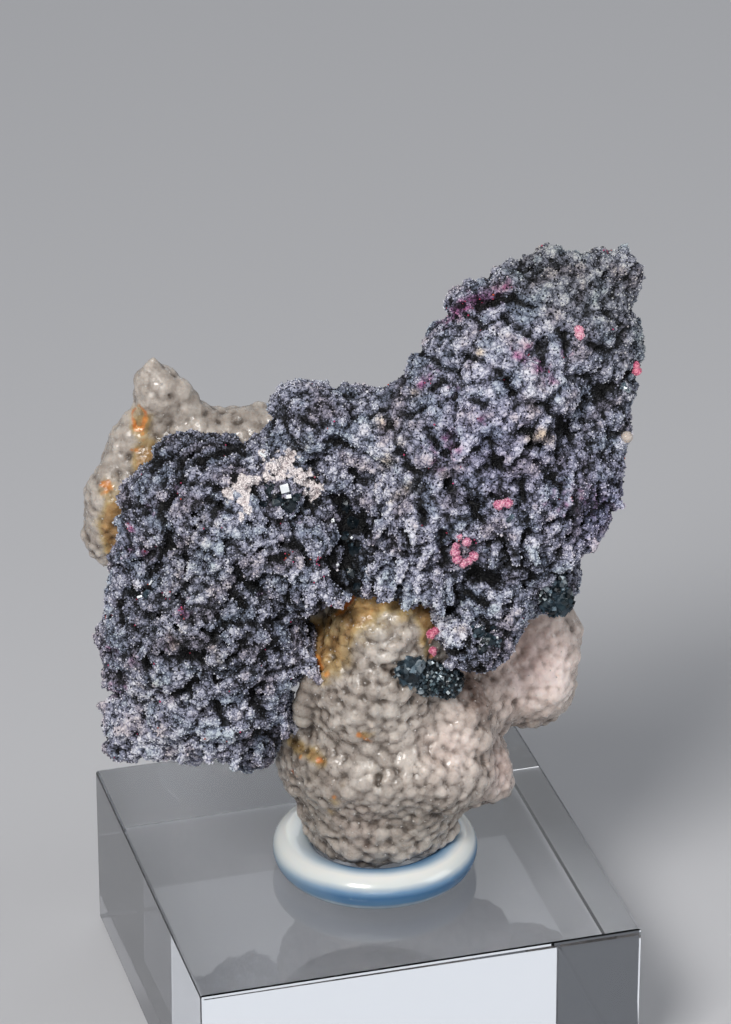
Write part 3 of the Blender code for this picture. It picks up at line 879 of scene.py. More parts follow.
# cream-coloured nodules: u, v, reach and strength
TAN = [
    (414, 393, 6, 1.0), (530, 437, 8, 0.9), (544, 437, 9, 1.0), (534, 406, 6, 0.6), (388, 462, 8, 0.8), (392, 425, 7, 0.5), (402, 440, 6, 0.5), (478, 352, 7, 0.5),
    (410, 488, 8, 0.7), (396, 498, 7, 0.6), (380, 420, 9, 0.4), (444, 475, 7, 0.5), (508, 496, 6, 0.5), (300, 440, 12, 0.3), (172, 640, 12, 0.35), (150, 690, 14, 0.3),
    (215, 655, 14, 0.3), (200, 530, 14, 0.3), (462, 628, 7, 0.3),
]


def tan_at(P, N):
    k = np.clip(flat_marks(P, TAN), 0, 1) * (N @ VIEW < 0.2)
    return np.clip(k * 1.2 + 0.6 * field(P, 0.0014, 12, 1) * (k > 0.05) - 0.1, 0, 1)


def rose_at(P, N, rng):
    """How rosy each point is; the patches are broken up by a fine pattern."""
    k = np.clip(flat_marks(P, ROSE), 0, 1) * (N @ VIEW < 0.2)
    return np.clip(k * 1.3 + 0.9 * field(P, 0.0009, 9, 1) * (k > 0.05) - 0.15, 0, 1)


def near_marks(P, marks):
    """The strongest of the round marks (u, v, reach) on the front at each point."""
    u, v = elevation(P)
    out = np.zeros(len(P))
    for mu, mv, r, *_ in marks:
        out = np.maximum(out, np.exp(-((u - mu) ** 2 + (v - mv) ** 2) / (r * r)))
    return out


LOW = [(470, 634, -42, 44), (446, 618, -40, 30), (498, 640, -30, 30), (500, 600, -30, 30)]


def low_cluster(P, N):
    """Darker under and to the right of the low hanging cluster, with pale caps above, by which way each face turns
    towards the upper-left light: painted light and shade.
    """
    inside = np.clip(bump_at(P, [mark(*m, 1.0) for m in LOW]) * 1.4, 0, 1)
    up = N @ (VIEW_UP * 0.75 - VIEW_RIGHT * 0.45 - VIEW * 0.35)
    return inside * (0.26 * np.clip(up * 2.2, -1, 1) + 0.24)


light_c, violet_c = crust_tones(CV)
light_c = light_c + low_cluster(CV, CN)
deep_c = crevice_depth(CV, CN)


def frosted(P, N):
    """How frosted each point is, with a ragged edge and gaps."""
    k = near_marks(P, FROST)
    ragged = np.zeros(len(P))
    on = k > 0.08
    ragged[on] = field(P[on], 0.0011, 4)
    return np.clip(k * 1.10 + 0.95 * ragged - 0.10, 0, 1) * on * (N @ VIEW < 0.1)


frost_c = frosted(CV, CN)
rose_c = rose_at(CV, CN, rng)
tan_c = tan_at(CV, CN)


TONES = ((0.0, srgb("08080b")), (0.20, srgb("1c1d22")), (0.42, srgb("4a4c57")), (0.62, srgb("83859a")), (0.80, srgb("b2b3c4")), (1.0, srgb("e2e2ea")))


def tinted(s, col, violet):
    hue = s.noise(230.0, 2.0)
    col = s.mix(s.span(hue, 0.50, 0.66, 0.0, 0.9), col, s.mix(1.0, col, srgb("dce8ea"), "MULTIPLY"))
    col = s.mix(s.span(hue, 0.48, 0.34, 0.0, 0.8), col, s.mix(1.0, col, srgb("ece0dc"), "MULTIPLY"))
    col = s.mix(s.math("MULTIPLY", s.attr("rose"), 0.85), col, s.mix(1.0, col, srgb("cf68a2"), "MULTIPLY"))
    col = s.mix(s.attr("tan"), col, s.mix(1.0, col, srgb("fbe6c6"), "MULTIPLY"))
    col = s.mix(s.span(violet, 0.1, 0.8, 0.0, 0.5), col, s.mix(1.0, col, srgb("cdbde4"), "MULTIPLY"))
    return s.mix(s.span(violet, 0.0, -0.6, 0.0, 0.8), col, s.mix(1.0, col, srgb("cccec4"), "MULTIPLY"))


def crust_material():
    s = Shader("dark_crust")
    dots = s.cells(2050.0)
    ident = s.new("ShaderNodeSeparateColor")
    s.link(s.cells(2050.0, out="Color"), ident.inputs[0])
    pebble = s.cells(3300.0)
    scales = s.cells(1150.0, feature="DISTANCE_TO_EDGE")
    fine = s.noise(5200.0, 2.0)
    mid = s.noise(620.0, 3.0, 0.6)
    size = s.math("ADD", s.math("MULTIPLY", ident.outputs[0], 0.26), 0.06)
    dot = s.span(s.math("SUBTRACT", dots, size), 0.10, -0.06)
    up = s.math("SUBTRACT", s.attr("tone"), s.math("MULTIPLY", dot, 0.48))
    up = s.math("SUBTRACT", up, s.math("MULTIPLY", s.span(scales, 0.10, 0.0), 0.30))
    up = s.math("SUBTRACT", up, s.math("MULTIPLY", s.span(pebble, 0.30, 0.70), 0.14))
    up = s.math("ADD", up, s.math("MULTIPLY", s.math("SUBTRACT", mid, 0.5), 0.25))
    up = s.math("ADD", up, s.math("MULTIPLY", s.math("SUBTRACT", fine, 0.5), 0.25))
    col = tinted(s, s.ramp(up, TONES), s.attr("violet"))
    col = s.mix(s.span(s.attr("frost"), 0.30, 0.50, 0.0, 0.95), col, s.ramp(s.math("SUBTRACT", fine, s.math("MULTIPLY", dot, 0.25)), ((0.1, srgb("857a7e")), (0.38, srgb("d3c8c9")), (0.62, srgb("f8f0ee")))))
    s.set(Base_Color=col, Roughness=s.span(fine, 0.3, 0.7, 0.5, 0.8), Specular_IOR_Level=0.3)
    h = s.math("SUBTRACT", s.math("MULTIPLY", dot, -0.8), s.math("MULTIPLY", pebble, 0.5))
    h = s.math("ADD", h, s.math("MULTIPLY", s.span(scales, 0.0, 0.30), 1.0))
    s.set(Normal=s.bump(h, 0.00018, 1.0))
    return s.m


def grain_material():
    s = Shader("crust_grains")
    tone = s.attr("tone")
    fine = s.noise(4200.0, 2.0)
    up = s.math("ADD", tone, s.math("MULTIPLY", s.math("SUBTRACT", fine, 0.5), 0.35))
    col = tinted(s, s.ramp(up, TONES), s.attr("violet"))
    frost = s.attr("frost")
    col = s.mix(s.math("MULTIPLY", frost, 0.95), col, s.ramp(tone, ((0.1, srgb("b7a6a8")), (0.45, srgb("f4e9e6")), (0.7, srgb("fffaf8")))))
    red = s.attr("rust")
    col = s.mix(s.span(red, 0.2, 0.3), col, s.ramp(red, ((0.3, srgb("6b1f2c")), (0.5, srgb("9c2f4c")), (0.7, srgb("c4527e")), (0.9, srgb("b8502a")))))
    s.set(Base_Color=col, Roughness=s.span(fine, 0.3, 0.7, 0.45, 0.75), Specular_IOR_Level=0.4)
    return s.m


CRUST_MAT = crust_material()
GRAIN_MAT = grain_material()


def left_right(P):
    return (P - spot(372, 500, 0)) @ VIEW_RIGHT


def cut_up(name, V, F, count, mat, attrs):
    """A big skin as a few pieces side by side, with about as many faces in each."""
    out = []
    side = left_right(V[F].mean(1))
    ends = np.quantile(side, np.linspace(0, 1, count + 1))
    ends[0], ends[-1] = -1.0, 1.0
    for k in range(count):
        f = F[(side >= ends[k]) & (side < ends[k + 1])]
        used, inv = np.unique(f, return_inverse=True)
        ob = mesh_object(name + "_" + "abcdef"[k], V[used], inv.reshape(f.shape))
        for key, val in attrs.items():
            attribute(ob, key, val[used])
        ob.data.materials.append(mat)
        out.append(ob)
    return out


# an eight-sided grain laid out flat on a square
OCTA_UV = np.array((
    ((1, .5), (.5, 1), (.5, .5)), ((.5, 1), (0, .5), (.5, .5)), ((0, .5), (.5, 0), (.5, .5)), ((.5, 0), (1, .5), (.5, .5)),
    ((.5, 1), (1, .5), (1, 1)), ((0, .5), (.5, 1), (0, 1)), ((.5, 0), (0, .5), (0, 0)), ((1, .5), (.5, 0), (1, 0)),
))


def grain_piece(name, P, R, mat, attrs, rng, smooth=True, jitter=0.2, stretch=0.22):
    gv, gt = copies(OCTA, P, R, rng, jitter, stretch)
    ob = mesh_object(name, gv, gt, smooth=smooth)
    for key, val in attrs.items():
        attribute(ob, key, np.repeat(val, 6))
    n = len(P)
    side = int(math.ceil(math.sqrt(n)))
    cell = np.stack((np.arange(n) % side, np.arange(n) // side), 1)[:, None, None, :]
    uv = (cell + 0.04 + 0.92 * OCTA_UV[None]) / side
    layer = ob.data.uv_layers.new(name="OFBake")
    layer.uv.foreach_set("vector", uv.astype(np.float32).ravel())
    ob.data.materials.append(mat)
    return ob


nodule_tree = KDTree(len(C1))
for i, q in enumerate(C1.tolist()):
    nodule_tree.insert(q, i)
nodule_tree.balance()
nodule_tone = rng.uniform(-0.10, 0.10, len(C1)) + np.where(rng.random(len(C1)) < 0.12, -0.18, 0.0)
# the fillers, lower down between the nodules, a little darker: partly the darker mineral there, partly painted shade
nodule_tone[tall:len(C1) - len(Cf)] -= 0.05
# the branches are lighter, and the nodules behind them darker: painted shade behind the branches
u1_, v1_ = elevation(C1)
behind = np.zeros(len(C1))
for u0, v0, ue, ve, r, _, _ in BRANCHES[:24]:
    du, dv = ue - u0, ve - v0
    k = np.clip(((u1_ - u0) * du + (v1_ - v0) * dv) / (du * du + dv * dv), 0, 1)
    behind = np.maximum(behind, np.exp(-((u1_ - u0 - k * du) ** 2 + (v1_ - v0 - k * dv) ** 2) / (r * 1.7) ** 2))
behind[len(C1) - len(Cf):] = 0
nodule_tone -= 0.22 * behind
nodule_tone[len(C1) - len(Cf):] += 0.12


def nodule_at(P):
    """For each point how far it is from the seam between two nodules (0 on it) and its nodule's own tone."""
    seam, own = np.empty(len(P)), np.empty(len(P))
    for i, p in enumerate(P.tolist()):
        got = sorted((d / R1[j], j) for _, j, d in nodule_tree.find_n(p, 3))
        seam[i] = got[1][0] - got[0][0]
        own[i] = nodule_tone[got[0][1]]
    return seam, own


# the crust's tone: lighter where it stands out, darker in hollows, along crevices, on the seams between nodules and in
# the gaps between clusters; partly the darker mineral there, partly painted shade
def crust_tone(P, near, wide, light, deep):
    seam, own = nodule_at(P)
    edge, cluster, _ = cluster_edges(P)
    size = np.clip(bump_at(P, BIG), 0, 1)
    t = 0.71 + 0.10 * np.clip(near / 0.00010, -1.3, 1) + 0.12 * (1 - 0.3 * size) * np.clip(wide / 0.0004, -1.5, 1) + 0.42 * light + own
    t = t + 0.06 * cluster - 0.24 * (1 - edge) ** 4
    t = t - 0.40 * deep - 0.24 * (1 - 0.4 * size) * np.clip(1 - seam / 0.12, 0, 1)
    return np.where(t < 0.5, 0.5 - (0.5 - t) * 1.25, t)


tone_c = crust_tone(CV, near_c, wide_c, light_c, deep_c)
crust_pieces = cut_up("crust_skin", CV, CF, 3, CRUST_MAT, {"tone": tone_c, "violet": violet_c, "frost": frost_c, "rose": rose_c, "tan": tan_c})

# loose grains, closer together on the best side
CT = tri_of(CF)
GP, GN, gi = scatter(CV, CT, 200000, rng)
front = (GN @ VIEW) < 0.15
keep = spaced(GP, np.where(front, np.where(rng.random(len(GP)) < 0.25, 0.00034, 0.00050), 0.00066))
GP, GN, gi, front = GP[keep], GN[keep], gi[keep], front[keep]
keep = rng.random(len(GP)) > 0.62 * np.clip(bump_at(GP, BIG), 0, 1) * front
GP, GN, gi, front = GP[keep], GN[keep], gi[keep], front[keep]
hidden = inside_or_near(matrix_tree, GP, GN, 0.0002)
GP, GN, gi, front = GP[~hidden], GN[~hidden], gi[~hidden], front[~hidden]
near_g, wide_g = near_c[CT[gi]].mean(1), wide_c[CT[gi]].mean(1)
light_g, violet_g = crust_tones(GP)
light_g = light_g + low_cluster(GP, GN)
frost_g = np.clip((frosted(GP, GN) + rng.uniform(-0.2, 0.2, len(GP)) - 0.35) / 0.2, 0, 1)
rose_g = rose_at(GP, GN, rng)
tan_g = tan_at(GP, GN)
GR = np.where(front, rng.uniform(0.00010, 0.00019, len(GP)), rng.uniform(0.00018, 0.00034, len(GP)))
salt = rng.choice((-0.45, -0.14, 0.04, 0.22), len(GP), p=(0.18, 0.18, 0.38, 0.26)) + rng.uniform(-0.06, 0.06, len(GP))
tone = np.clip(crust_tone(GP, near_g, wide_g, light_g, crevice_depth(GP, GN)) + salt, 0, 1.1)
share = np.zeros(len(GP))
u_g, v_g = elevation(GP)
for mu, mv, r, k in SPECKS:
    share = np.maximum(share, k * np.exp(-((u_g - mu) ** 2 + (v_g - mv) ** 2) / (r * r)))
share = np.maximum(share * front, 0.004)
rust = np.where(rng.random(len(GP)) < share, rng.uniform(0.35, 0.95, len(GP)), 0.0)
print("grains", len(GP), "front", front.sum())
count = int(math.ceil(len(GP) * 8 / 190000))
for k, pick in enumerate(np.array_split(np.argsort(left_right(GP), kind="stable"), count)):
    crust_pieces.append(grain_piece("crust_grains_" + "abcdef"[k], (GP + GN * 0.00006)[pick], GR[pick], GRAIN_MAT, {
        "tone": tone[pick], "rust": rust[pick], "violet": violet_g[pick], "frost": frost_g[pick], "rose": rose_g[pick], "tan": tan_g[pick],
    }, rng))
for ob in crust_pieces:
    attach(ob, "root")
    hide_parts("dark_crust")

# ---------------------------------------------------------------------------------------------------
# white druse: rounded knobs grown together
# ---------------------------------------------------------------------------------------------------
rng = np.random.default_rng(23)
P, N, _ = scatter(matrix_soft, matrix_tris, 30000, rng)
rk = rng.choice((0.00072, 0.00100, 0.00132, 0.00170), len(P), p=(0.32, 0.34, 0.22, 0.12)) * rng.uniform(0.88, 1.12, len(P))
order = np.argsort(-rk + rng.uniform(0, 0.0008, len(P)))
P, N, rk = P[order], N[order], rk[order]
keep = spaced(P, rk * 1.22)
P, N, rk = P[keep], N[keep], rk[keep]
hidden = inside_or_near(crust_tree, P, N, 0.0001)
P, N, rk = P[~hidden], N[~hidden], rk[~hidden]
# the fin at the left back is smoother, and so is the lobe at the right back
SMOOTH = [mark(130, 450, 40, 90, 0.34), mark(200, 400, 40, 80, 0.34), mark(545, 660, 30, 60, 0.36)]
calm = np.clip(bump_at(P, SMOOTH), 0, 0.75)
lift = 0.00054 - rk * (0.80 + 0.10 * calm) + (0.00026 * field(P, 0.0042, 5) + rng.uniform(-0.00022, 0.00018, len(P))) * (1 - calm)
KC = P + N * lift[:, None]
core, core_t, _ = soft_skin(MATRIX_V, MATRIX_T, 0.0009, 4, 0.0004)
parts = [(core, core_t), copies(ICO[2], KC, rk, rng, 0.04, 0.24)]
# single knobs that stand out: u, v, half width, half height and roll, and how far each stands out, all in units
for u, v, w, h, roll, out in (
    (350.5, 790.5, 11.5, 10.5, 0.0, 5), (332, 797, 7, 7, 0.0, 2), (376, 803, 9, 10, 0.4, 1), (392, 803, 8, 8, 0.0, 1), (372, 766, 13, 7, -0.3, 2),
    (385, 657, 14, 6.5, 0.12, 6), (395, 646, 12, 6, 0.20, 5), (372, 650, 8, 7, 0.0, 4), (364, 662, 7, 11, -0.3, 5), (355, 657, 6, 9, 0.2, 2),
    (378, 634, 9, 8, 0.0, 2), (362, 640, 8, 8, 0.0, 2), (406, 634, 9, 7, 0.3, 3), (395, 622, 8, 7, 0.0, 1),
    (352, 680, 7, 5, 0.1, 2), (371, 674, 6, 8, -0.3, 2), (384, 690, 9, 9, 0.0, 1), (389, 711, 11, 9, 0.0, 2), (350, 720, 7, 4.5, 0.0, 2),
    (412, 722, 9, 8, 0.0, 1), (304, 716, 8, 8, 0.0, 1), (318, 740, 7, 7, 0.0, 1), (440, 712, 9, 8, 0.0, 1), (362, 707, 8, 8, 0.3, 1),
    (398, 820, 9, 7, 0.2, 1), (362, 830, 12, 10, 0.0, 1), (420, 766, 9, 9, 0.0, 1), (447, 760, 8, 9, 0.0, 1), (430, 735, 10, 9, 0.0, 1),
    (407, 770, 8, 8, 0.0, 2), (460, 740, 8, 9, 0.0, 1), (340, 845, 9, 8, 0.0, 0), (400, 632, 7, 6, 0.3, 1), (384, 625, 8, 8, 0.0, 1),
):
    hit, _ = met(matrix_tree, u, v)
    if hit is None:
        continue
    x = VIEW_RIGHT * math.cos(roll) + VIEW_UP * math.sin(roll)
    y = VIEW_UP * math.cos(roll) - VIEW_RIGHT * math.sin(roll)
    z = min(w, h)
    c = hit + VIEW * (z - out - 3) * UNIT
    L = ICO[3][0]
    parts.append((c + (L[:, :1] * x * w + L[:, 1:2] * y * h + L[:, 2:] * VIEW * -z) * UNIT, ICO[3][1]))
    KC = np.concatenate((KC, c[None]))
    rk = np.append(rk, (w * h * z) ** (1 / 3) * UNIT)
# the left side of the column, under the edge of the crust
hit, _ = met(matrix_tree, 316, 694)
for u, v, r in ((314, 676, 10), (311, 685, 12), (308, 695, 13), (305, 706, 13), (303, 717, 12), (316, 700, 12)):
    c = spot(u, v, depth_of(hit) + 10)
    parts.append(copies(ICO[3], c[None], [r * UNIT], rng, 0.0, 0.12))
    KC = np.concatenate((KC, c[None]))
    rk = np.append(rk, r * UNIT)
# the base spreads over the inner side of the ring: u, v, radius and depth
for u, v, r, y in (
    (309, 822, 9, 0), (312, 828, 9, -7), (317, 835, 9, -14), (322, 841, 9, -22), (328, 846, 9, -30), (335, 851, 9, -38), (316, 824, 13, -2),
    (320, 830, 13, -8), (325, 836, 13, -16), (331, 841, 13, -24), (340, 845, 12, -34), (452, 827, 9, -18), (446, 834, 9, -26), (438, 840, 9, -34),
    (430, 845, 9, -42), (420, 849, 9, -48), (442, 825, 13, -20), (436, 831, 13, -28), (428, 836, 13, -34), (418, 842, 12, -42), (408, 846, 12, -48),
    (305, 812, 8, 4), (313, 814, 11, 2), (318, 816, 12, 0), (350, 853, 9, -46), (363, 855, 9, -49), (376, 856, 9, -50), (389, 855, 9, -50), (400, 853, 9, -49),
):
    c = spot(u, v, y)
    parts.append(copies(ICO[3], c[None], [r * UNIT], rng, 0.0, 0.16))
    KC = np.concatenate((KC, c[None]))
    rk = np.append(rk, r * UNIT)
hit, _ = met(matrix_tree, 153, 374)
for u, v, r in ((153, 361, 4.5), (150, 366, 5.5), (157, 367, 5.5), (153, 371, 7), (146, 374, 6), (162, 376, 6)):
    c = spot(u, v, depth_of(hit) + r * 0.8)
    parts.append(copies(ICO[3], c[None], [r * UNIT], rng, 0.0, 0.12))
    KC = np.concatenate((KC, c[None]))
    rk = np.append(rk, r * UNIT)
V, T = join(*parts)
DV, DF = fused(V, T, 0.00031)
print("druse knobs", len(KC), "quads", len(DF))
DV, DF = thinned(DV, DF, matrix_tree, 0.70)
print("druse triangles kept", len(DF))
DE = edges_of(DF)
DV = smoothed(DV, DE, 1, 0.5)
calm = np.clip(bump_at(DV, SMOOTH), 0, 0.8)[:, None]
DV = DV * (1 - calm) + smoothed(DV, DE, 10, 0.6) * calm
DN = vertex_normals(DV, DF)
near_d, wide_d = cavities(DV, DF, DE, DN, 4)
knob_tree = KDTree(len(KC))
for i, q in enumerate(KC.tolist()):
    knob_tree.insert(q, i)
knob_tree.balance()
knob_tone = rng.uniform(0, 1, len(KC))
seam_d, knob_d = np.empty(len(DV)), np.empty(len(DV))
for i, p in enumerate(DV.tolist()):
    got = sorted((d / rk[j], j) for _, j, d in knob_tree.find_n(p, 4))
    seam_d[i] = got[1][0] - got[0][0]
    knob_d[i] = knob_tone[got[0][1]]
druse_tree = bvh_of(DV, tri_of(DF))
calm = np.clip(bump_at(DV, SMOOTH), 0, 1)
seam_d = seam_d + calm * 0.5
knob_d = knob_d + (0.5 - knob_d) * calm * 0.6


def druse_material():
    s = Shader("calcite_druse")
    seam = s.attr("seam")
    knob = s.attr("knob")
    wide = s.attr("wide")
    pink = s.attr("pink")
    grey = s.attr("grey")
    yellow = s.attr("yellow")
    rust = s.attr("rust")
    fine = s.noise(1500.0, 3.0, 0.6)
    mid = s.noise(260.0, 3.0, 0.6)
    # darker in broad hollows, along the seams between knobs and in narrow dips: painted shade
    gaps = s.span(s.noise(150.0, 2.0), 0.42, 0.62, 0.07, 0.24)
    up = s.math("SUBTRACT", s.span(wide, -0.00040, 0.00030, 0.06, 0.46), s.math("MULTIPLY", s.span(seam, 0.15, 0.0), gaps))
    up = s.math("SUBTRACT", up, s.span(s.attr("near"), 0.0, -0.00009, 0.0, 0.21))
    up = s.math("ADD", up, s.math("MULTIPLY", knob, 0.24))
    up = s.math("ADD", up, s.attr("light"))
    up = s.math("ADD", up, s.math("MULTIPLY", s.math("SUBTRACT", mid, 0.5), 0.45))
    up = s.math("ADD", up, s.math("MULTIPLY", s.math("SUBTRACT", fine, 0.5), 0.25))
    col = s.ramp(up, (
        (0.0, srgb("665c54")), (0.20, srgb("8d837b")), (0.42, srgb("aea59d")), (0.70, srgb("cfc7bf")), (1.0, srgb("f3efe9")),
    ))
    col = s.mix(s.math("MINIMUM", s.attr("shade"), 1.0), col, s.mix(1.0, col, srgb("7a6252"), "MULTIPLY"))
    col = s.mix(s.math("MULTIPLY", pink, 0.75), col, s.mix(1.0, col, srgb("ffe4e2"), "MULTIPLY"))
    col = s.mix(s.math("MULTIPLY", grey, 0.8), col, s.mix(1.0, col, srgb("a9a9a4"), "MULTIPLY"))
    patch = s.noise(420.0, 3.0, 0.65)
    spread = s.math("ADD", yellow, s.math("MULTIPLY", s.math("SUBTRACT", patch, 0.5), 0.8))
    y = s.span(spread, 0.15, 0.75)
    col = s.mix(s.math("MULTIPLY", y, 0.92), col, s.mix(1.0, col, s.ramp(spread, ((0.3, srgb("fdf0c8")), (0.7, srgb("f8e0a4")), (1.0, srgb("eac07c")))), "MULTIPLY"))
    r = s.span(s.math("ADD", rust, s.math("MULTIPLY", s.math("SUBTRACT", patch, 0.5), 1.3)), 0.30, 0.95)
    col = s.mix(s.math("MULTIPLY", r, 0.8), col, s.ramp(patch, ((0.35, srgb("b04c1a")), (0.65, srgb("e29a48")))))
    dots = s.math("MULTIPLY", s.span(s.cells(330.0), 0.10, 0.05), s.span(s.noise(60.0, 1.0), 0.50, 0.62))
    col = s.mix(s.math("MULTIPLY", dots, 0.8), col, srgb("3a302a"))
    facet = s.cells(1300.0)
    s.set(
        Base_Color=col, Roughness=s.span(fine, 0.35, 0.7, 0.20, 0.5), Specular_IOR_Level=0.5,
        Subsurface_Weight=0.55, Subsurface_Radius=(0.0013, 0.0010, 0.0008), Subsurface_Scale=1.0,
        Normal=s.bump(s.math("ADD", facet, s.math("MULTIPLY", fine, 0.6)), 0.00014, 0.7),
    )
    return s.m


DRUSE_MAT = druse_material()


def on_druse(u, v, y_else=-60):
    co, _ = met(druse_tree, u, v)
    return spot(u, v, y_else) if co is None else co


def dmark(u, v, reach, strength, y=None):
    return (on_druse(u, v) if y is None else spot(u, v, y), reach * UNIT, strength)


pink_d = bump_at(DV, [dmark(530, 660, 75, 1.0), dmark(500, 770, 40, 0.8), dmark(450, 750, 45, 0.5), dmark(470, 690, 30, 0.5), dmark(360, 830, 40, 0.25)])
grey_d = bump_at(DV, [dmark(300, 770, 30, 0.5), dmark(320, 820, 40, 0.6), dmark(420, 820, 50, 0.4), dmark(300, 720, 25, 0.5), dmark(380, 850, 40, 0.4), dmark(350, 625, 30, 0.3)])
# lightness marks on the druse: partly painted light, lifting the top of the column under the crust and the rear lobe in
# the wing's shade, partly painted shade under the crust's edge; the smooth fin and rear lobe are lighter, and the side
# turned from the eye is lifted as painted light against its shade
light_d = bump_at(DV, [dmark(*m) for m in (
    (352, 602, 10, 0.35), (340, 612, 8, 0.25), (318, 668, 8, 0.35), (425, 640, 9, 0.25), (425, 618, 8, 0.2), (330, 640, 10, 0.12),
    (545, 650, 50, 0.46), (560, 690, 40, 0.35), (520, 690, 26, 0.30), (500, 780, 30, 0.34), (460, 760, 40, 0.30), (450, 730, 30, 0.20), (155, 375, 30, -0.10), (240, 415, 34, -0.10), (388, 655, 14, 0.22), (366, 660, 10, 0.14), (352, 680, 10, 0.2),
    (370, 766, 16, 0.25), (420, 768, 14, 0.25), (410, 755, 16, 0.20), (350, 790, 10, 0.15), (389, 711, 10, 0.15), (350, 720, 8, 0.25), (400, 740, 22, 0.10),
    (400, 820, 16, -0.12), (430, 815, 18, -0.12), (300, 810, 16, -0.12), (290, 780, 14, -0.25), (296, 800, 12, -0.2), (450, 820, 20, -0.10),
    (370, 604, 22, 0.50), (352, 604, 12, 0.35), (392, 604, 16, 0.35), (420, 622, 14, 0.20), (400, 830, 60, 0.08),
    (305, 700, 10, -0.20), (330, 700, 10, -0.15), (312, 728, 8, -0.2), (296, 735, 8, -0.25), (340, 745, 10, -0.15),
)]) + np.clip(bump_at(DV, SMOOTH), 0, 1) * 0.16 - 0.10 + 0.16 * np.clip((DN @ VIEW) * 2 - 0.3, 0, 1)
yellow_d = bump_at(DV, [dmark(*m) for m in (
    (318, 628, 17, 0.9), (311, 645, 16, 1.0), (322, 655, 17, 0.9), (335, 640, 17, 0.8), (330, 622, 16, 0.9), (345, 605, 16, 1.0), (357, 612, 16, 0.8),
    (368, 602, 15, 0.9), (382, 600, 15, 0.8), (395, 598, 14, 0.7), (350, 625, 16, 0.5), (340, 660, 16, 0.5), (318, 668, 13, 0.8), (326, 680, 13, 0.5),
    (345, 640, 14, 0.4), (372, 618, 14, 0.3), (395, 612, 12, 0.3), (362, 640, 30, 0.28), (342, 668, 20, 0.25), (400, 628, 24, 0.25), (350, 612, 14, 0.4),
    (412, 604, 12, 0.8), (424, 612, 13, 1.0), (428, 626, 13, 1.0), (424, 640, 9, 0.8), (428, 652, 9, 0.8), (405, 615, 9, 0.4), (305, 690, 11, 0.3),
    (292, 742, 11, 0.8), (300, 748, 11, 0.8), (312, 754, 12, 0.9), (322, 762, 9, 0.8), (302, 725, 10, 0.3), (334, 803, 9, 0.6), (330, 812, 9, 0.5),
    (372, 735, 8, 0.5), (362, 735, 7, 0.8), (342, 786, 7, 0.4), (310, 775, 10, 0.3), (316, 790, 10, 0.3),
    (162, 447, 15, 0.6), (150, 462, 13, 0.7), (140, 478, 13, 0.6), (132, 492, 12, 0.7), (124, 508, 12, 0.9), (118, 524, 12, 0.9), (114, 540, 12, 0.9),
    (110, 552, 11, 0.8), (112, 514, 12, 0.8), (109, 530, 12, 0.7), (100, 520, 18, 0.30), (146, 425, 15, 0.30), (140, 462, 14, 0.6), (120, 505, 16, 0.6), (117, 530, 16, 0.6), (150, 452, 14, 0.5),
)])
ring_spots = [
    (139 + (6.4 + math.sin(3 * a)) * math.cos(a), 418 - (12.0 + math.sin(5 * a)) * math.sin(a), 3.3 + 0.6 * math.sin(2 * a + 1), 0.70 + 0.16 * math.sin(3 * a + 2))
    for a in np.linspace(0, 2 * math.pi, 18, endpoint=False)
]
RUST = ring_spots + [
    (348, 600, 6, 1.0), (344, 610, 5, 0.9), (350, 592, 6, 0.8), (341, 624, 5, 0.7), (336, 631, 5, 0.6), (314, 660, 7, 1.0), (321, 668, 6, 0.9),
    (327, 675, 6, 0.7), (309, 650, 6, 0.6), (305, 638, 7, 0.6), (312, 625, 6, 0.4), (400, 597, 6, 0.7), (409, 600, 6, 0.6), (420, 600, 6, 0.6),
    (433, 612, 6, 0.8), (434, 628, 6, 0.8), (430, 642, 5, 0.8), (432, 656, 5, 1.0), (378, 596, 6, 0.6), (360, 592, 6, 0.6),
    (359, 735, 5, 1.0), (366, 739, 4.5, 0.9), (372, 741, 4, 0.5), (319, 760, 5.5, 1.1), (300, 757, 5, 0.7), (293, 772, 5, 1.0), (297, 776, 4, 0.6),
    (334, 797, 4, 0.7), (338, 809, 4, 0.4), (143, 434, 3, 0.8), (143, 440, 3, 0.7), (143, 446, 3, 0.6), (131, 450, 4, 0.7), (137, 450, 4, 0.8),
    (100, 484, 5, 0.7), (106, 484, 5.5, 0.9), (111, 488, 5, 0.7), (106, 492, 4, 0.6), (102, 494, 3.5, 0.5), (110, 481, 4, 0.4), (155, 440, 5, 0.3),
    (352, 596, 8, 0.9), (345, 604, 7, 0.9), (338, 614, 6, 0.7), (316, 662, 8, 0.9), (431, 634, 6, 0.7),
]
rust_d = bump_at(DV, [dmark(*m) for m in RUST])
yellow_d = yellow_d + bump_at(DV, [dmark(u, v, r * 2.4, k * 0.26) for u, v, r, k in RUST if u < 340 and v < 500])
shade_d = bump_at(DV, [dmark(*m) for m in (
    (462, 684, 18, 0.7), (478, 700, 14, 0.7), (488, 716, 12, 0.6), (440, 668, 12, 0.5), (455, 668, 12, 0.5), (400, 690, 11, 0.4), (415, 702, 12, 0.4),
    (430, 706, 12, 0.4), (386, 669, 6, 0.8), (394, 673, 6, 0.8), (378, 682, 5, 0.5), (367, 845, 4.5, 1.2), (334, 797, 4, 0.5), (310, 738, 5, 0.5),
    (306, 632, 8, 0.4), (300, 650, 8, 0.5), (306, 668, 7, 0.5), (300, 690, 9, 0.5), (338, 618, 6, 0.3), (400, 596, 10, 0.4), (432, 606, 10, 0.5),
    (355, 590, 10, 0.4), (290, 700, 9, 0.5), (400, 735, 5, 0.4), (290, 790, 9, 0.3),
)])
druse_pieces = cut_up("druse", DV, DF, 2, DRUSE_MAT, {
    "seam": seam_d, "knob": knob_d, "wide": wide_d, "near": near_d, "light": light_d, "pink": pink_d, "grey": grey_d, "yellow": yellow_d, "rust": rust_d, "shade": shade_d,
})
for ob in druse_pieces:
    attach(ob, "root")
    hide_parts("calcite_matrix")


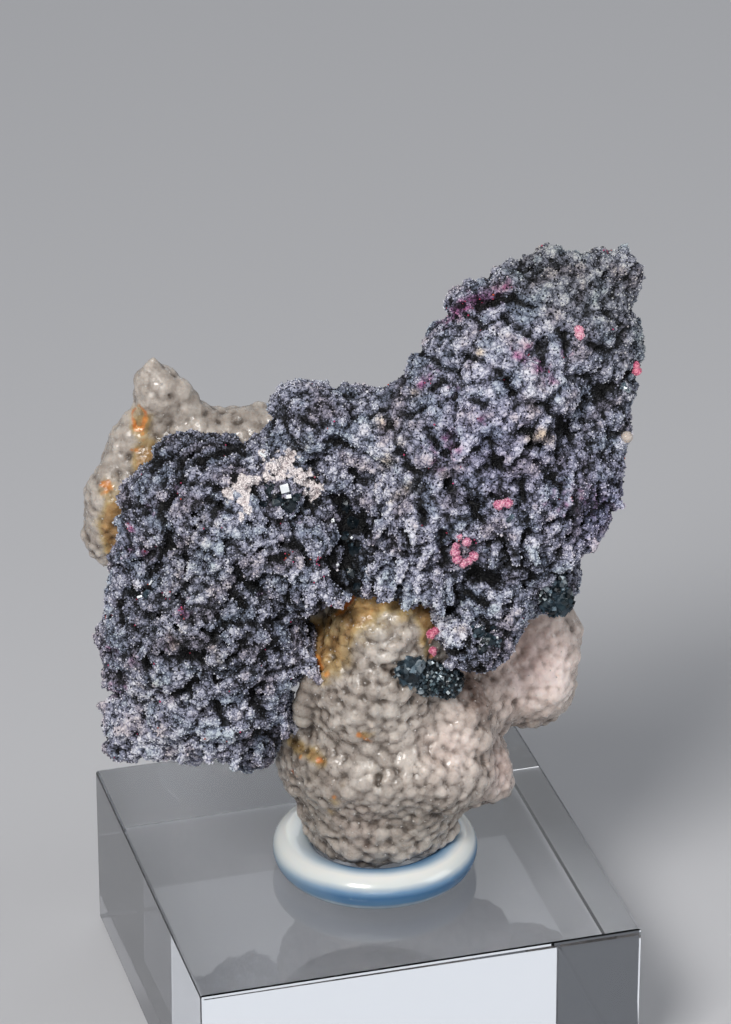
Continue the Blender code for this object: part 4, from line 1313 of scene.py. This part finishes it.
def druse_sparks():
    """Small clear crystals seated on the knobs of the best side."""
    T = tri_of(DF)
    P, N, _ = scatter(DV, T, 16000, rng)
    k = (N @ VIEW < -0.1) & (rng.random(len(P)) > np.clip(bump_at(P, SMOOTH), 0, 0.9))
    P, N = P[k], N[k]
    k = spaced(P, 0.00140)
    P, N = P[k], N[k]
    k = ~inside_or_near(crust_tree, P, N, 0.0003)
    P, N = P[k], N[k]
    n = len(P)
    ob = grain_piece("druse_sparks", P + N * 0.00002, rng.uniform(0.00008, 0.00016, n), DRUSE_MAT, {
        "seam": np.full(n, 0.4), "knob": rng.uniform(0.3, 1.0, n), "wide": np.full(n, 0.0003), "near": np.zeros(n), "light": np.interp(rng.random(n), (0, 1), (0.0, 0.15)),
        "pink": np.full(n, 0.1), "grey": np.zeros(n), "yellow": np.zeros(n), "rust": np.zeros(n), "shade": np.zeros(n),
    }, rng, smooth=False)
    print("druse sparks", n)
    finish_piece(ob, "calcite_matrix")


# ---------------------------------------------------------------------------------------------------
# block and ring
# ---------------------------------------------------------------------------------------------------
def block_material():
    s = Shader("clear_acrylic")
    n = s.noise(70.0, 3.0)
    s.set(
        Base_Color=(0.985, 0.993, 1.0), Roughness=s.span(n, 0.45, 0.75, 0.0, 0.035), Transmission_Weight=1.0, IOR=1.49,
    )
    v = s.new("ShaderNodeVolumeAbsorption")
    v.inputs["Color"].default_value = (0.71, 0.72, 0.75, 1.0)
    v.inputs["Density"].default_value = 20.0
    s.link(v.outputs[0], s.out.inputs["Volume"])
    return s.m


nodes["display_block"].data.materials.clear()
nodes["display_block"].data.materials.append(block_material())


def ring_piece():
    lo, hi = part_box("ring_stand")
    lo, hi = np.array(lo), np.array(hi)
    c = (lo + hi) / 2
    outer = max(hi[0] - lo[0], hi[1] - lo[1]) / 2
    h = hi[2] - lo[2]
    w = 0.0058
    rc = outer - w / 2
    low = c[2] - BLOCK_HEIGHT - 0.00004      # it rests on the block
    n, turns_n = 40, 160
    V = []
    for j in range(turns_n):
        b = 2 * math.pi * j / turns_n
        for i in range(n):
            a = 2 * math.pi * i / n
            x = rc + w / 2 * math.cos(a)
            z = h / 2 * math.sin(a) if math.sin(a) > 0 else max(low / 0.95 * math.sin(a), -low)
            V.append((c[0] + x * math.cos(b), c[1] + x * math.sin(b), c[2] + z))
    F = []
    for j in range(turns_n):
        for i in range(n):
            F.append((j * n + i, ((j + 1) % turns_n) * n + i, ((j + 1) % turns_n) * n + (i + 1) % n, j * n + (i + 1) % n))
    ob = mesh_object("ring", np.array(V), np.array(F))
    # how far round the tube: -1 underneath, 0 outward, 1 on top, 2 inward
    around = np.tile(np.where(np.arange(n) <= 0.75 * n - 1, np.arange(n) * 4.0 / n, np.arange(n) * 4.0 / n - 4.0), turns_n)
    attribute(ob, "around", around)
    # the painted blue reflection bands are strongest towards the front and the right
    b = np.repeat(2 * math.pi * np.arange(turns_n) / turns_n, n)
    out = np.stack((np.cos(b), np.sin(b), np.zeros(len(b))), 1)
    attribute(ob, "blue_reflection_strength", np.clip(0.60 + 0.75 * (out @ VIEW_RIGHT) - 0.75 * (out @ VIEW), 0, 1))
    s = Shader("milky_ring")
    nse = s.noise(240.0, 3.0)
    streaks = s.noise(90.0, 3.0)
    at = s.math("ADD", s.attr("around"), s.math("MULTIPLY", s.math("SUBTRACT", streaks, 0.5), 0.35))
    # painted highlight: a white crown on top of the tube; painted reflection: blue bands on the lower outside and on
    # the inner side
    s.set(
        Base_Color=s.mix(s.attr("blue_reflection_strength"), s.ramp(s.span(at, -1.0, 2.0, kind="LINEAR"), (
            (0.0, srgb("c9dbe8")), (0.19, srgb("c3d5e2")), (0.26, srgb("93b0c8")), (0.33, srgb("a9bfcf")), (0.41, srgb("d3dbdd")), (0.50, srgb("e9ebe8")),
            (0.62, srgb("e7eae8")), (0.75, srgb("cbd5db")), (1.0, srgb("a3bacb")),
        )), s.ramp(s.span(at, -1.0, 2.0, kind="LINEAR"), (
            (0.0, srgb("c9dbe8")), (0.19, srgb("c3d5e2")), (0.235, srgb("6690b6")), (0.31, srgb("4a759e")), (0.37, srgb("7599ba")), (0.45, srgb("dfe4e3")),
            (0.56, srgb("f0f0ec")), (0.60, srgb("dbe2e5")), (0.65, srgb("9db6cb")), (0.71, srgb("6a90b3")), (0.80, srgb("557fa8")), (1.0, srgb("406f9f")),
        ))),
        Roughness=s.span(nse, 0.3, 0.7, 0.12, 0.2), Transmission_Weight=0.10, IOR=1.45, Subsurface_Weight=0.4,
        Subsurface_Radius=(0.0010, 0.0012, 0.0015), Subsurface_Scale=1.0, Coat_Weight=0.4, Coat_Roughness=0.08,
    )
    ob.data.materials.append(s.m)
    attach(ob, "root")
    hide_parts("ring_stand")


ring_piece()

# ---------------------------------------------------------------------------------------------------
# small crystals and balls
# ---------------------------------------------------------------------------------------------------
def dark_crystal_material(name="dark_crystal"):
    s = Shader(name)
    spark = s.attr("spark")
    n = s.noise(1500.0, 3.0, 0.6)
    big = s.noise(420.0, 2.0)
    up = s.math("ADD", spark, s.math("MULTIPLY", s.math("SUBTRACT", n, 0.5), 0.35))
    up = s.math("ADD", up, s.math("MULTIPLY", s.math("SUBTRACT", big, 0.5), 0.4))
    col = s.ramp(up, (
        (0.0, srgb("0b0f12")), (0.30, srgb("1b262e")), (0.60, srgb("374955")), (0.82, srgb("6b7d8a")), (1.0, srgb("b2bcc2")),
    ))
    col = s.mix(s.span(s.noise(300.0, 2.0), 0.5, 0.65, 0.0, 0.6), col, s.mix(1.0, col, srgb("cfe0d2"), "MULTIPLY"))
    s.set(Base_Color=col, Roughness=s.span(n, 0.3, 0.7, 0.22, 0.42), Metallic=0.25, Specular_IOR_Level=0.6)
    s.set(Normal=s.bump(s.cells(900.0, feature="DISTANCE_TO_EDGE"), 0.00012, 0.5))
    return s.m


DARK_MAT = dark_crystal_material()


def ball_centres(name, balls):
    """Centres and radii of a node's balls given as u, v and radius in units, found on the node itself."""
    V, T = node_skin(name)
    tree = bvh_of(V, T)
    C, R = [], []
    for u, v, r in balls:
        hit, _ = met(tree, u, v)
        if hit is None:
            hit = spot(u, v, depth_of(V.mean(0)) - r)
        ray = hit - EYE_ROW
        ray /= np.linalg.norm(ray)
        C.append(hit + ray * r * UNIT * 0.85)
        R.append(r * UNIT)
    return np.array(C), np.array(R)


def finish_piece(ob, node=None):
    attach(ob, "root")
    if node:
        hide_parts(node)


def crystal_lump(name, balls, rng, kinds, size):
    """A lump of dark crystals. Each ball is a smooth body with a few broad facets ("broad") or is rough with small ones ("rough")."""
    C, R = ball_centres(name, balls)
    parts, tones = [], []

    def crystals(shape, P, r, spark, jitter, stretch):
        parts.append(copies(shape, P, r, rng, jitter, stretch))
        tones.append(np.repeat(spark, len(shape[0])))

    for c, r, kind in zip(C, R, kinds):
        c, r = c[None], np.array([r])
        crystals(ICO[2], c, r * 0.93, np.array([0.42 if kind == "broad" else 0.30]), 0.05, 0.06)
        D = rng.normal(size=(900, 3))
        D /= np.linalg.norm(D, axis=1, keepdims=True)
        if kind == "broad":
            P = c + D * r * 0.76
            P = P[spaced(P, size * 2.2)]
            crystals(CUBE, P, rng.uniform(0.9, 1.3, len(P)) * r[0] * 0.31, np.clip(rng.normal(0.47, 0.15, len(P)), 0, 1), 0.0, 0.30)
            P = c + D * r * 0.99
            P = P[spaced(P, size * 1.9)][:60]
        else:
            P = c + D * r * rng.uniform(0.90, 1.0, (len(D), 1))
            P = P[spaced(P, size * 0.85)]
        k = len(P) // 2
        rr = rng.uniform(0.5, 1.2, len(P)) * size
        spark = np.clip(rng.choice((0.16, 0.46, 0.88), len(P), p=(0.38, 0.38, 0.24)) + rng.normal(0, 0.08, len(P)), 0, 1)
        crystals(CUBE, P[:k], rr[:k], spark[:k], 0.0, 0.25)
        crystals(OCTA, P[k:], rr[k:], spark[k:], 0.1, 0.25)
    V, T = join(*parts)
    ob = mesh_object(name + "_look", V, T, smooth=False)
    attribute(ob, "spark", np.concatenate(tones))
    ob.data.materials.append(DARK_MAT)
    finish_piece(ob, name)


druse_sparks()
rng = np.random.default_rng(31)
crystal_lump("dark_crystal_front", [(409, 670, 17), (427, 678, 18), (446, 681, 17)], rng, ("broad", "rough", "rough"), 0.00034)
crystal_lump("dark_crystal_right", [(549, 585, 17), (556, 599, 17)], rng, ("rough", "broad"), 0.00042)


def erythrite_material():
    s = Shader("erythrite")
    n = s.noise(1600.0, 3.0, 0.6)
    up = s.math("ADD", s.attr("tip"), s.math("MULTIPLY", s.math("SUBTRACT", n, 0.5), 0.7))
    col = s.ramp(up, ((0.0, srgb("96466a")), (0.30, srgb("c06c90")), (0.65, srgb("dc98b0")), (1.0, srgb("f0c6d2"))))
    col = s.mix(s.attr("red"), col, s.mix(1.0, col, srgb("ffb4bc"), "MULTIPLY"))
    s.set(
        Base_Color=col, Roughness=s.span(n, 0.3, 0.7, 0.4, 0.65), Subsurface_Weight=0.25,
        Subsurface_Radius=(0.0010, 0.0005, 0.0005), Subsurface_Scale=1.0,
    )
    return s.m


PINK_MAT = erythrite_material()


def erythrite_piece(name, balls, rng, red=0.0, pale=0.0):
    """Balls of fine crystals that radiate from the middle, so each is covered in low points."""
    C, R = ball_centres(name, balls)
    V, T = copies(ICO[3], C, R, rng, 0.0, 0.08)
    which = np.repeat(np.arange(len(C)), len(ICO[3][0]))
    D = (V - C[which]) / np.linalg.norm(V - C[which], axis=1, keepdims=True)
    h = np.array([noise.noise(Vector(d * 4.5) + Vector((w * 3.1, w, 0))) for d, w in zip(D, which.tolist())])
    h2 = np.array([noise.noise(Vector(d * 11.0) + Vector((w, w * 2.3, 5))) for d, w in zip(D, which.tolist())])
    V = V + D * (R[which] * (0.13 * h + 0.10 * h2))[:, None]
    # small grains round the balls
    P, N, _ = scatter(V, T, 60 * len(C), rng)
    P = P[spaced(P, 0.00022)]
    g = copies(OCTA, P, rng.uniform(0.00009, 0.00017, len(P)), rng, 0.15, 0.2)
    tip = np.concatenate((np.clip(0.50 + pale + 1.3 * h + 0.9 * h2, 0, 1), np.repeat(rng.uniform(0.2 + pale, 1.0, len(P)), 6)))
    V, T = join((V, T), g)
    ob = mesh_object(name + "_look", V, T)
    attribute(ob, "tip", tip)
    attribute(ob, "red", np.full(len(V), red))
    ob.data.materials.append(PINK_MAT)
    finish_piece(ob, name)


rng = np.random.default_rng(37)
erythrite_piece("erythrite_front", [
    (459, 536, 3.6), (467, 542, 4.2), (456, 546, 3.8), (455, 552, 4.6), (457, 559, 4.6), (463, 563, 4.6), (469, 561, 3.8), (474, 556, 4.6),
], rng, 0.15)
erythrite_piece("erythrite_mid", [(498, 505, 4.5), (503, 503, 3.5), (508, 503, 4.5)], rng, 0.2)
erythrite_piece("erythrite_top", [(579, 330, 4.5), (580, 335, 4.5)], rng, 0.25, 0.45)
erythrite_piece("erythrite_edge", [(636, 366, 4.0), (637, 371, 4.5)], rng, 0.7)
erythrite_piece("erythrite_low_a", [(431, 634, 4.5), (435, 631, 4.0)], rng, 0.7)
erythrite_piece("erythrite_low_b", [(433, 650.5, 4.0), (434, 653, 2.8)], rng, 0.6)


def calcite_ball_piece():
    C, R = ball_centres("calcite_ball", [(627, 437, 5.5)])
    V, T = copies(ICO[3], C, R, rng, 0.0, 0.06)
    D = (V - C) / np.linalg.norm(V - C, axis=1, keepdims=True)
    h = np.array([noise.noise(Vector(d * 3.0)) for d in D])
    V = V + D * (R[0] * 0.10 * h)[:, None]
    ob = mesh_object("calcite_ball_look", V, T)
    for key, val in (("seam", 0.4), ("knob", 0.7), ("wide", 0.0002), ("near", 0.0), ("light", 0.0), ("pink", 0.2), ("grey", 0.2), ("yellow", 0.0), ("rust", 0.0), ("shade", 0.0)):
        attribute(ob, key, np.full(len(V), val))
    ob.data.materials.append(DRUSE_MAT)
    finish_piece(ob, "calcite_ball")


calcite_ball_piece()

# glassy dark lumps and bright flat faces between the nodules
crust_face = bvh_of(CV, tri_of(CF))


def glints():
    parts, tones = [], []

    def put(shape, place, r, tone, jitter=0.1, stretch=0.2):
        v, t = copies(shape, np.asarray(place)[None], [r], rng, jitter, stretch)
        parts.append((v, t))
        tones.append(np.full(len(v), tone))

    for u, v, r, tone in (
        (268, 492, 8, 0.30), (276, 502, 9, 0.35), (288, 506, 8, 0.25), (264, 504, 6, 0.30), (295, 498, 6, 0.35), (272, 486, 5, 0.4),
        (346, 505, 7, 0.22), (352, 520, 8, 0.20), (344, 536, 7, 0.28), (354, 552, 8, 0.22), (350, 572, 7, 0.28), (358, 586, 6, 0.2),
        (478, 632, 7, 0.4), (488, 640, 8, 0.35), (482, 648, 6, 0.3), (494, 630, 6, 0.3), (497, 642, 5, 0.45), (146, 596, 5, 0.5),
        (624, 386, 4, 0.8), (628, 390, 3, 0.9), (508, 520, 4, 0.5), (512, 516, 3, 0.8),
    ):
        hit, _ = met(crust_face, u, v)
        if hit is None:
            continue
        put(ICO[1], hit + VIEW * r * UNIT * 0.45, r * UNIT, tone, 0.12, 0.15)
        for _ in range(7):
            d = rng.normal(size=3)
            d /= np.linalg.norm(d)
            if d @ VIEW > 0.1:
                d = -d
            put(CUBE, hit + VIEW * r * UNIT * 0.45 + d * r * UNIT * 0.95, r * UNIT * rng.uniform(0.15, 0.38), float(np.clip(tone + rng.normal(0, 0.2), 0, 1)), 0.0, 0.2)
    V, T = join(*parts)
    ob = mesh_object("glassy_lumps", V, T, smooth=False)
    attribute(ob, "spark", np.concatenate(tones))
    ob.data.materials.append(DARK_MAT)
    finish_piece(ob)

    # flat bright faces turned half way between the eye and the main light
    key = np.array((-0.34, -0.46, 0.62))
    parts = []
    for u, v, w, h, roll in ((285, 489, 8, 8, 0.25), (289, 497, 5, 3.5, 0.15), (333, 521, 3.5, 3.5, 0.2), (140, 597, 5, 2, 0.3), (151, 583, 5, 1.6, 1.0), (263, 455, 7, 2, -0.6), (497, 638, 3, 2, 0.4), (338, 565, 2.5, 2, 0.4), (352, 538, 2.5, 2, 0.9), (626, 388, 3, 2.5, 0.3)):
        hit, _ = met(crust_face, u, v)
        if hit is None:
            continue
        n = -VIEW + (key - hit) / np.linalg.norm(key - hit)
        n /= np.linalg.norm(n)
        x = VIEW_RIGHT - n * (VIEW_RIGHT @ n)
        x /= np.linalg.norm(x)
        y = np.cross(n, x)
        x, y = x * math.cos(roll) + y * math.sin(roll), y * math.cos(roll) - x * math.sin(roll)
        L = CUBE[0] / 0.62
        c = hit - n * 0.0001
        parts.append((c + L[:, :1] * x * w * UNIT / 2 + L[:, 1:2] * y * h * UNIT / 2 + L[:, 2:] * n * 0.0005, CUBE[1]))
    V, T = join(*parts)
    bm_ob = mesh_object("bright_faces", V, T, smooth=False)
    s = Shader("bright_faces")
    n = s.noise(900.0, 2.0)
    s.set(Base_Color=s.ramp(n, ((0.3, srgb("8e98a2")), (0.7, srgb("c9ced2")))), Roughness=s.span(n, 0.3, 0.7, 0.22, 0.45), Specular_IOR_Level=0.5)
    bm_ob.data.materials.append(s.m)
    finish_piece(bm_ob)


glints()
